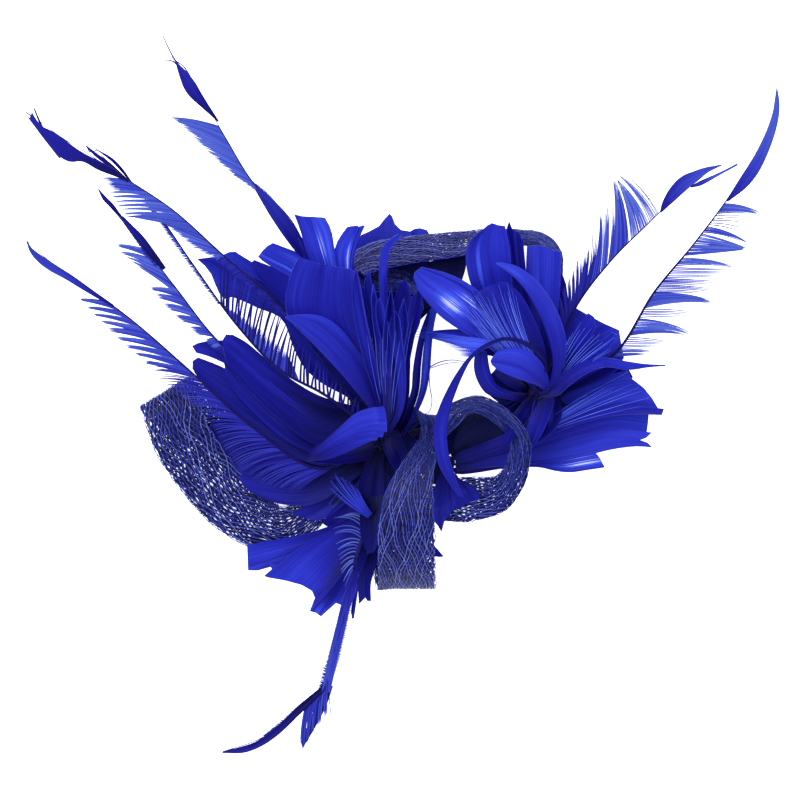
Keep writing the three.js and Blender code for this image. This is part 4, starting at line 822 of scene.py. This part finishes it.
def sheet_shell(build, row, root, rng, seed, rise_at=None):
    """A closed thin feather sheet between two side edges and a cut tip; its fibres run from root to tip."""
    look, left, tip, right = (row[key] for key in ("look", "left", "tip", "right"))
    if root is not None:
        toward = unit((left[0] + right[0]) / 2 - root)
        side = np.array([-toward[1], toward[0]])
        across = side * ROOT_SPREAD * np.sign(np.sum(side * (left[0] - right[0])) + 1e-9)
        left, right = np.vstack([root + across, left]), np.vstack([root - across, right])
    t = np.linspace(0, 1, look.get("rows", SHEET_ROWS))
    edge_left = smooth_line(np.vstack([left, tip[:1]]), t)[:, None]
    edge_right = smooth_line(np.vstack([right, tip[-1:]]), t)[:, None]
    width = np.linalg.norm(edge_left - edge_right, axis=2) * GRID
    across_all = np.concatenate([np.linspace(0, 1, look.get("columns", SHEET_COLUMNS)), polyline(tip, t)[1]])
    across_all = np.unique(np.round(across_all, 3))
    slits = [(0.0, 1.0, 0.0), *look.get("slits", ()), (1.0, 1.0, 0.0)]
    phase = rng.uniform(0, 2 * np.pi, 3)
    t = t[:, None]
    for k, ((low, *cut_low), (high, *cut_high)) in enumerate(zip(slits, slits[1:])):
        inner = across_all[(across_all > low + COLUMN_GAP) & (across_all < high - COLUMN_GAP)]
        c = np.unique(np.concatenate([[low], inner, [high]]))
        chord = tip[0] + (tip[-1] - tip[0]) * c[:, None]
        place = (edge_left * (1 - c)[:, None] + edge_right * c[:, None]
                 + (polyline(tip, c)[0] - chord) * t[..., None] ** TIP_POWER)
        share = (c - low) / (high - low)
        for (start, gap), lean in ((cut_low, 1 - share), (cut_high, -share)):
            opened = np.clip((t - start) / max(1 - start, 0.02), 0, 1) ** SLIT_POWER
            parted = (opened * gap - SLIT_LAP) * 0.5 if gap else 0.0 * opened
            place = place + unit(edge_right - edge_left) * (parted * lean)[..., None]
        grid = plan(place)
        if rise_at is None:
            rise = np.stack([np.linspace(0, 1, len(row["rise"])), row["rise"]], 1)
            height = smooth_line(rise, t[:, 0])[:, 1:]
        else:
            height = rise_at(grid)
        relief = sheet_relief(look, t, c, width / max(width.max(), 1e-6), phase)
        grid[..., 2] = height + relief + SLIT_STEP * k
        tone = sheet_tone(look, row["tone"], t, c, rng)
        grid = seen(grid)
        length = lengths(grid[:, len(c) // 2])[-1]
        fibre = np.stack(np.broadcast_arrays(t * length, (c - 0.5) * width.max(), seed), -1)
        if np.cross(np.gradient(grid, axis=1), np.gradient(grid, axis=0))[..., 2].sum() < 0:
            grid, fibre, tone = grid[:, ::-1], fibre[:, ::-1], tone[:, ::-1]
        build.shell(grid, fibre, tone, VANE_THICKNESS)


def barb_tubes(build, feet, tips, lean, row, rng, seed):
    """Barbs as thin flat tapered strips that leave their feet along lean and bow over to their tips."""
    look, count = row["look"], len(feet)
    place = np.linspace(0, 1, BARB_STEPS + 1)[None]
    v = place[..., None]
    reach = np.linalg.norm(tips - feet, axis=1)[:, None]
    knee = feet + 0.5 * (tips - feet) + lean * reach * look.get("bow", BARB_BOW)
    knee[:, 1] -= reach[:, 0] * look.get("sag", 0.0)
    path = (1 - v) ** 2 * feet[:, None] + 2 * v * (1 - v) * knee[:, None] + v**2 * tips[:, None]
    stray = rng.uniform(-BARB_STRAY, BARB_STRAY, (count, 1))
    path[..., 2] += look.get("lift", BARB_LIFT) * reach * place + stray * place**2
    path = seen(path)
    along = unit(np.gradient(path, axis=1))
    flat = square_to(UP, along)
    width = look.get("width", BARB_WIDTH) * (1 - BARB_TAPER[0] * place ** BARB_TAPER[1])
    fibre = np.stack(np.broadcast_arrays(place * reach, np.arange(count)[:, None] * 0.7, seed), -1)
    spread, rise, level = BARB_TONES
    tone = row["tone"] + rng.uniform(-spread, spread, (count, 1)) + rise * (place - level)
    build.tubes(path, np.cross(flat, along), flat, width, BARB_THICKNESS, fibre, tone)


def grid_barbs(build, row, rng, seed):
    """A fan of barbs between two lines of the plan grid, over a petal."""
    count = row["count"]
    u = np.linspace(0, 1, count)
    wobble = np.clip(u + rng.uniform(-FAN_WOBBLE, FAN_WOBBLE, count) / count, 0, 1)
    low, high = row["look"]["rise"]
    feet = plan(polyline(row["base"], u)[0], low)
    tips = plan(polyline(row["tips"], wobble)[0], high)
    tips = feet + (tips - feet) * rng.uniform(*FAN_REACH, count)[:, None]
    run = unit(tips - feet)
    barb_tubes(build, feet, tips, np.stack([-run[:, 1], run[:, 0], 0 * u + FAN_LEAN], -1), row, rng, seed)


def grid_wire(build, row, seed):
    """One loose hair through places of the plan grid."""
    t = np.linspace(0, 1, HAIR_STEPS)
    height = np.interp(t, np.linspace(0, 1, len(row["rise"])), row["rise"])
    path = seen(plan(smooth_line(row["line"], t), height))[None]
    along = unit(np.gradient(path, axis=1))
    flat = square_to(UP, along)
    fibre = np.stack([t * 10, t * 0, t * 0 + seed], -1)[None]
    width = row["width"] * (HAIR_TAPER[0] - HAIR_TAPER[1] * t[None])
    build.tubes(path, np.cross(flat, along), flat, width, HAIR_THICKNESS, fibre, row["tone"])


def shaft(build, spine, start, end, root, tip, tone, slot=1, steps=36):
    """A tapered shaft of round section along a spine."""
    s = np.linspace(start, end, steps)
    left, face = spine.frame(s)
    size = 2 * (root + (tip - root) * ((s - start) / (end - start)) ** SHAFT_POWER)[None]
    fibre = np.stack([s * 0, s * spine.length, s * 0 + 5], -1)
    build.tubes(spine.at(s)[None], left[None], face[None], size, size, fibre[None], tone, SHAFT_SIDES, slot)


def petal_piece(name, head_name, sheets, fans=(), wires=()):
    """A cut goose-feather petal: its sheets from the bound head, quills, and the loose barbs on it."""
    rng = random_for(name)
    head = HEADS[head_name]
    centre = np.array([head["x"] / GRID + GRID_CENTRE[0], GRID_CENTRE[1] - head["y"] / GRID])
    build = Builder()
    for row in sheets:
        seed, rise = rng.uniform(0, 50), row["rise"]
        middle = (row["left"][0] + row["right"][0]) / 2
        start = HEAD_OVERLAP if rise[0] > head["top"] else head["radius"] / GRID
        root = None if row["look"].get("free") else centre + unit(middle - centre) * start
        sheet_shell(build, row, root, rng, seed)
        if root is not None:
            heights = [rise[0], rise[0] + QUILL_RISE * (rise[1] - rise[0])]
            quill = Spine(seen(plan(np.array([root, middle]), heights)))
            tone = row["tone"] - QUILL_SHADE
            shaft(build, quill, QUILL_START, 1.0, QUILL_RADIUS, QUILL_RADIUS * QUILL_TAPER, tone, steps=8)
    for row in fans:
        grid_barbs(build, row, rng, rng.uniform(0, 50))
    for row in wires:
        grid_wire(build, row, rng.uniform(0, 50))
    return build


def plume_piece(name, path, radii, leaves, fans, hairs):
    """A plume: shaft, stretches of barbs that gather in locks, closed leaves and loose hairs."""
    rng = random_for(name)
    spine = Spine(path)
    build = Builder()
    seed = rng.uniform(0, 50)
    shaft(build, Spine(seen(spine.at(np.linspace(0, 1, 40)))), 0, 1.0, *radii, PLUME_SHAFT_TONE, steps=80)
    table = spine.at(np.linspace(0, 1, TABLE_STEPS))

    def share_of(place):
        return np.argmin(np.linalg.norm(table[:, :2] - plan(place)[:2], axis=1)) / (TABLE_STEPS - 1)

    for row in fans:
        look, count = row["look"], row["count"]
        uneven = look.get("uneven", UNEVEN)
        u = np.linspace(0, 1, count)
        s = np.interp(u, [0, 1], [share_of(row["base"][0]), share_of(row["base"][-1])])
        s = s + rng.uniform(-1, 1, count) * uneven * abs(s[-1] - s[0]) / count
        feet = spine.at(s)
        reach = u + rng.uniform(-1, 1, count) * uneven * TIP_UNEVEN / count
        if "locks" in look:
            middle = (np.floor(u * look["locks"] * 0.999) + 0.5) / look["locks"]
            reach = reach + (middle - reach) * look.get("gather", GATHER)
        reach = np.clip(reach, 0, 1) ** look.get("sweep", 1.0)
        tips = plan(polyline(row["tips"], reach)[0], feet[:, 2])
        tips[:, :2] = feet[:, :2] + (tips[:, :2] - feet[:, :2]) * rng.uniform(*PLUME_REACH, count)[:, None]
        barb_tubes(build, feet, tips, spine.tangent(s), row, rng, seed)

    coarse = table[::4]

    def rise_at(grid):
        gaps = np.linalg.norm(grid[:, :, None, :2] - coarse[:, :2], axis=3)
        return coarse[np.argmin(gaps, axis=2), 2] + LEAF_LIFT

    for row in leaves:
        sheet_shell(build, row, None, rng, seed, rise_at)
    for row in hairs:
        grid_wire(build, row, seed)
    return build


def ribbon_frame(rows):
    """A ribbon's centre line, directions of its width and of its normal, widths, and length run so far."""
    t = np.linspace(0, 1, RIBBON_STEPS)
    centre = catmull(rows[:, :3], t)
    wides = unit(rows[:, 3:6])
    place = np.minimum(t * (len(rows) - 1), len(rows) - 1.0001)
    low = place.astype(int)
    share = (place - low)[:, None]
    tangent = unit(np.gradient(centre, axis=0))
    wide = square_to(wides[low] * (1 - share) + wides[low + 1] * share, tangent)
    widths = np.interp(place, np.arange(len(rows)), rows[:, 6])
    return centre, wide, np.cross(tangent, wide), widths, lengths(centre)


def ribbon_piece(name, rows):
    """A flattened tube of bias sinamay: its strands cross one face, fold over and cross the other."""
    rng = random_for(name)
    centre, wide, normal, widths, reach = ribbon_frame(rows)
    length, full = reach[-1], widths.max()
    pitch, slope, thick = WEAVES[name]
    strands = int(round(2 * full / pitch))
    build = Builder()
    a = np.linspace(0, length, int(length / STRAND_STEP))
    mid = columns_at(a, reach, centre)
    across, up = (unit(columns_at(a, reach, axis)) for axis in (wide, normal))
    width = np.interp(a, reach, widths)
    for hand, level in ((1, 0), (-1, 0), (1, 1), (-1, 1)):
        stray = rng.uniform(-STRAND_JITTER, STRAND_JITTER, strands)
        phase = ((np.arange(strands) + stray + rng.uniform()) / strands)[:, None]
        turn = phase + hand * a / (2 * full * slope)
        drift = rng.uniform(0, 2 * np.pi, 3)
        slow, fast, apart = DRIFT_TURNS
        waves = np.sin(a * slow + drift[0]) + np.sin(a * fast + drift[1] + apart * phase)
        turn += STRAND_DRIFT / strands * waves
        turn = turn % 1.0
        inset = INNER_SHARE + (1 - INNER_SHARE) * LAYER_GAPS[level] / LAYER_GAPS[0]
        b = (1 - 4 * np.abs(turn - 0.5)) * inset
        layer = np.tanh(np.sin(turn * 2 * np.pi) * FOLD_SHARPNESS)
        wave = STRAND_WAVE * hand * np.sin(np.pi * b * full / pitch)
        path = mid + across * (b * width / 2)[..., None] + up * (layer * LAYER_GAPS[level] + wave)[..., None]
        run = unit(np.gradient(path, axis=1))
        flat = square_to(up, run)
        fibre = np.stack(np.broadcast_arrays(b, a, phase * 40 + hand), -1)
        # Painted light on the outer level, painted shade on the inner level
        tone = STRAND_TONES[level] + rng.uniform(-TONE_SPREAD, TONE_SPREAD, strands)[:, None]
        strand_width = STRAND_WIDTHS[level] * thick * np.clip(width / full, NARROWEST, 1)
        build.tubes(path, np.cross(flat, run), flat, strand_width, STRAND_THICKNESS, fibre, tone, sides=3)
    return build, full, length, float(np.sum((widths[1:] + widths[:-1]) / 2 * np.diff(reach)))


def wound(build, at, out, section, turn, sides):
    """A thread wound round an axis, with its section axes out from the axis and along it."""
    flat = np.cross(unit(np.gradient(at, axis=0)), out)
    fibre = np.stack([0 * turn, turn, 0 * turn], -1)
    build.tubes(at[None], out[None], flat[None], *section, fibre[None], THREAD_TONE, sides)


def head_piece(head):
    """A bound head: thread wound in a close helix round the quills, with its wrapped wire stem."""
    build = Builder()
    foot, top = head["foot"], head["top"]
    axis = np.array([head["x"], head["y"], 0.0])
    height = np.linspace(foot + 0.2, top - 0.4, WOUND_STEPS)
    turn = (height - height[0]) / THREAD_PITCH * 2 * np.pi
    share = (height - foot) / (top - foot)
    turned_in = np.clip((share - SHOULDER) / (1 - SHOULDER), 0, 1)
    radius = head["radius"] * np.clip(np.sqrt(1 - turned_in**2), 0.25, 1) - THREAD_INSET
    radius *= np.clip(0.8 + share * 4, 0, 1)
    out = np.stack([np.cos(turn), np.sin(turn), 0 * turn], -1)
    wound(build, axis + out * radius[:, None] + UP * height[:, None], out, THREAD_SECTION, turn, 6)
    core = axis + UP * np.linspace(foot + 0.1, top - 0.6, 8)[:, None]
    axes = np.tile([1.0, 0, 0], (1, 8, 1)), np.tile([0, 1.0, 0], (1, 8, 1))
    size = 2 * (head["radius"] - 2 * THREAD_INSET)
    build.tubes(core[None], *axes, size, size, np.zeros((1, 8, 3)), THREAD_TONE, sides=12)
    if head["stem"]:
        spine = Spine(head["stem"])
        shaft(build, spine, 0, 1, STEM_CORE, STEM_CORE, THREAD_TONE, slot=0, steps=22)
        s = np.linspace(0, 1, int(spine.length / STEM_THREAD_PITCH) * 10)
        left, face = spine.frame(s)
        turn = s * spine.length / STEM_THREAD_PITCH * 2 * np.pi
        out = left * np.cos(turn)[:, None] + face * np.sin(turn)[:, None]
        wound(build, spine.at(s) + out * (STEM_RADIUS - THREAD_INSET), out, STEM_THREAD_SECTION, turn, 5)
    return build


def material(name, colour, roughness, **sockets):
    made = bpy.data.materials.new(name)
    made.use_nodes = True
    shader = made.node_tree.nodes["Principled BSDF"]
    shader.inputs["Base Color"].default_value = (*colour, 1)
    shader.inputs["Roughness"].default_value = roughness
    for socket, value in sockets.items():
        shader.inputs[socket.replace("_", " ")].default_value = value
    return made, made.node_tree, shader


def node(tree, kind, **values):
    made = tree.nodes.new(kind)
    for key, value in values.items():
        setattr(made, key, value)
    return made


def ramp(tree, fac, stops):
    made = node(tree, "ShaderNodeValToRGB")
    elements = made.color_ramp.elements
    while len(elements) < len(stops):
        elements.new(0.5)
    for element, (place, colour) in zip(elements, stops):
        element.position = place
        element.color = (*colour, 1)
    tree.links.new(fac, made.inputs["Fac"])
    return made.outputs["Color"]


def maths(tree, operation, *inputs):
    made = node(tree, "ShaderNodeMath", operation=operation)
    for socket, value in zip(made.inputs, inputs):
        if isinstance(value, (int, float)):
            socket.default_value = value
        else:
            tree.links.new(value, socket)
    return made.outputs[0]


def noise_of(tree, vector, scale, detail):
    noise = node(tree, "ShaderNodeTexNoise")
    noise.inputs["Scale"].default_value = scale
    noise.inputs["Detail"].default_value = detail
    tree.links.new(vector, noise.inputs["Vector"])
    return noise.outputs["Fac"]


def fibre_noise(tree, along, across):
    """Noise drawn out along each barb: fine from barb to barb, slow along it."""
    mapping = node(tree, "ShaderNodeMapping")
    mapping.inputs["Scale"].default_value = (along, across, 1.0)
    fibre = node(tree, "ShaderNodeAttribute", attribute_name="fibre").outputs["Vector"]
    tree.links.new(fibre, mapping.inputs["Vector"])
    return noise_of(tree, mapping.outputs["Vector"], 1.0, 3.0)


def tone_of(tree):
    return node(tree, "ShaderNodeAttribute", attribute_name="tone").outputs["Fac"]


def bump_from(tree, shader, height, strength, distance):
    bump = node(tree, "ShaderNodeBump")
    bump.inputs["Strength"].default_value = strength
    bump.inputs["Distance"].default_value = distance
    tree.links.new(height, bump.inputs["Height"])
    tree.links.new(bump.outputs["Normal"], shader.inputs["Normal"])


def feather_material(name, stops, roughness):
    """Dyed feather: its tone, painted light and shade included, broken by fine and broad streaks along the
    barbs, reads a row of blues.
    """
    made, tree, shader = material(name, stops[1][1], roughness, Anisotropic=0.4, Specular_IOR_Level=0.3,
                                  Specular_Tint=(0.22, 0.26, 1.0, 1))
    fine, broad = fibre_noise(tree, 0.05, 2.4), fibre_noise(tree, 0.045, 0.42)
    mix = maths(tree, "ADD", maths(tree, "MULTIPLY", fine, FINE_STREAKS),
                maths(tree, "MULTIPLY", broad, BROAD_STREAKS))
    mix = maths(tree, "SUBTRACT", mix, (FINE_STREAKS + BROAD_STREAKS) / 2)
    value = maths(tree, "MULTIPLY", maths(tree, "ADD", mix, tone_of(tree)), STREAK_GAIN)
    tree.links.new(ramp(tree, value, stops), shader.inputs["Base Color"])
    rough = maths(tree, "ADD", maths(tree, "MULTIPLY", broad, 0.3), roughness - 0.15)
    tree.links.new(rough, shader.inputs["Roughness"])
    bump_from(tree, shader, fine, 0.5, STREAK_BUMP)
    return made


def sinamay_material():
    made, tree, shader = material("sinamay_navy", (0.02, 0.024, 0.2), 0.5, Specular_IOR_Level=0.2)
    value = maths(tree, "ADD", maths(tree, "MULTIPLY", fibre_noise(tree, 2.0, 0.5), 0.6),
                  maths(tree, "SUBTRACT", tone_of(tree), 0.3))
    stops = [(0.1, (0.0015, 0.0015, 0.03)), (0.4, (0.006, 0.008, 0.13)), (0.7, (0.024, 0.036, 0.34)),
             (1.0, (0.11, 0.15, 0.58))]
    tree.links.new(ramp(tree, value, stops), shader.inputs["Base Color"])
    return made


def mottled_material(name, dark, light, roughness, scale, bump_distance, **sockets):
    made, tree, shader = material(name, light, roughness, **sockets)
    noise = noise_of(tree, node(tree, "ShaderNodeTexCoord").outputs["Object"], scale, 5.0)
    tree.links.new(ramp(tree, noise, [(0.3, dark), (0.7, light)]), shader.inputs["Base Color"])
    bump_from(tree, shader, noise, 1.0, bump_distance)
    return made


# The whitish top of the row gives the painted highlights
FEATHER_BLUES = [
    (0.0, (0.0012, 0.0008, 0.03)), (0.14, (0.004, 0.003, 0.12)), (0.3, (0.0095, 0.0105, 0.28)),
    (0.45, (0.020, 0.030, 0.46)), (0.62, (0.05, 0.085, 0.68)), (0.78, (0.13, 0.2, 0.82)),
    (1.0, (0.5, 0.56, 0.92))]
SHAFT_BLUES = [(0.0, (0.003, 0.002, 0.04)), (0.3, (0.012, 0.008, 0.16)), (0.7, (0.04, 0.03, 0.4))]
PLUME_BLUES = [
    (0.05, (0.002, 0.0015, 0.06)), (0.22, (0.008, 0.006, 0.2)), (0.38, (0.02, 0.026, 0.34)),
    (0.52, (0.055, 0.085, 0.44)), (0.7, (0.13, 0.19, 0.54))]
FEATHER = feather_material("goose_feather_blue", FEATHER_BLUES, 0.45)
SHAFT = feather_material("feather_shaft_blue", SHAFT_BLUES, 0.4)
PLUME = feather_material("hackle_barb_blue", PLUME_BLUES, 0.5)
SINAMAY = sinamay_material()
THREAD = mottled_material("binding_thread_navy", (0.002, 0.002, 0.02), (0.005, 0.005, 0.06), 0.8, 900,
                          0.0001, Specular_IOR_Level=0.15)
FELT = mottled_material("felt_navy", (0.006, 0.006, 0.05), (0.014, 0.014, 0.12), 0.95, 700, 0.0004,
                        Sheen_Weight=0.3)
STEEL = mottled_material("clip_steel", (0.55, 0.56, 0.58), (0.72, 0.73, 0.76), 0.3, 300, 0.00003,
                         Metallic=1.0)


def dress(build, name, materials, slot_name, *nodes):
    piece = build.build(name, materials)
    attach(piece, "root")
    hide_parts(*nodes)
    return piece


for name, row in PETALS.items():
    dress(petal_piece(name, *row), name + "_vane", [FEATHER, SHAFT], "feather_petal", name)
for name, row in PLUMES.items():
    dress(plume_piece(name, *row), name + "_barbs", [PLUME, SHAFT], "feather_plume", name)
for name, rows in LOOPS.items():
    build, full, length, face_area = ribbon_piece(name, rows)
    ribbon = dress(build, name + "_weave", [SINAMAY], "sinamay", name)
for side, head in HEADS.items():
    dress(head_piece(head), f"bound_head_{side}_thread", [THREAD], "felt", f"bound_head_{side}")
for name, finish in (("felt_pad", FELT), ("hair_clip", STEEL)):
    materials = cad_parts[name].data.materials
    materials.clear()
    materials.append(finish)


def stage_floor():
    mesh = bpy.data.meshes.new("floor")
    corners = ((-1, -1), (1, -1), (1, 1), (-1, 1))
    mesh.from_pydata([(x * FLOOR_HALF, y * FLOOR_HALF, -FLOOR_DROP) for x, y in corners], [], [(0, 1, 2, 3)])
    floor = bpy.data.objects.new("floor", mesh)
    bpy.context.scene.collection.objects.link(floor)
    white = material("floor_white", (0.96, 0.96, 0.965), 0.9, Emission_Color=(1, 1, 1, 1),
                     Emission_Strength=FLOOR_GLOW)
    mesh.materials.append(white[0])


def area_light(name, place, size, power):
    light = bpy.data.lights.new(name, "AREA")
    light.shape = "DISK"
    light.size = size
    light.energy = power
    lamp = bpy.data.objects.new(name, light)
    lamp.location = place
    lamp.rotation_euler = (Vector(LIGHT_TARGET) - Vector(place)).to_track_quat("-Z", "Y").to_euler()
    bpy.context.scene.collection.objects.link(lamp)


stage_floor()
area_light("key", (-0.45, 0.4, 1.2), 1.1, 17)
area_light("fill", (0.7, -0.3, 1.0), 0.9, 6)
world = bpy.data.worlds.new("studio")
world.use_nodes = True
background = world.node_tree.nodes["Background"].inputs
background["Color"].default_value = (1, 1, 1, 1)
background["Strength"].default_value = WORLD_LIGHT
bpy.context.scene.world = world
bpy.context.scene.view_settings.view_transform = "Standard"

camera_data = bpy.data.cameras.new("camera")
camera_data.sensor_width = SENSOR
camera_data.lens = SENSOR * (CAMERA_HEIGHT - FOCUS_HEIGHT) / VIEW_WIDTH
camera_data.clip_end = 20
camera = bpy.data.objects.new("camera", camera_data)
camera.location = (CAMERA_AT[0] * MM, CAMERA_AT[1] * MM, CAMERA_HEIGHT * MM)
bpy.context.scene.collection.objects.link(camera)
bpy.context.scene.camera = camera
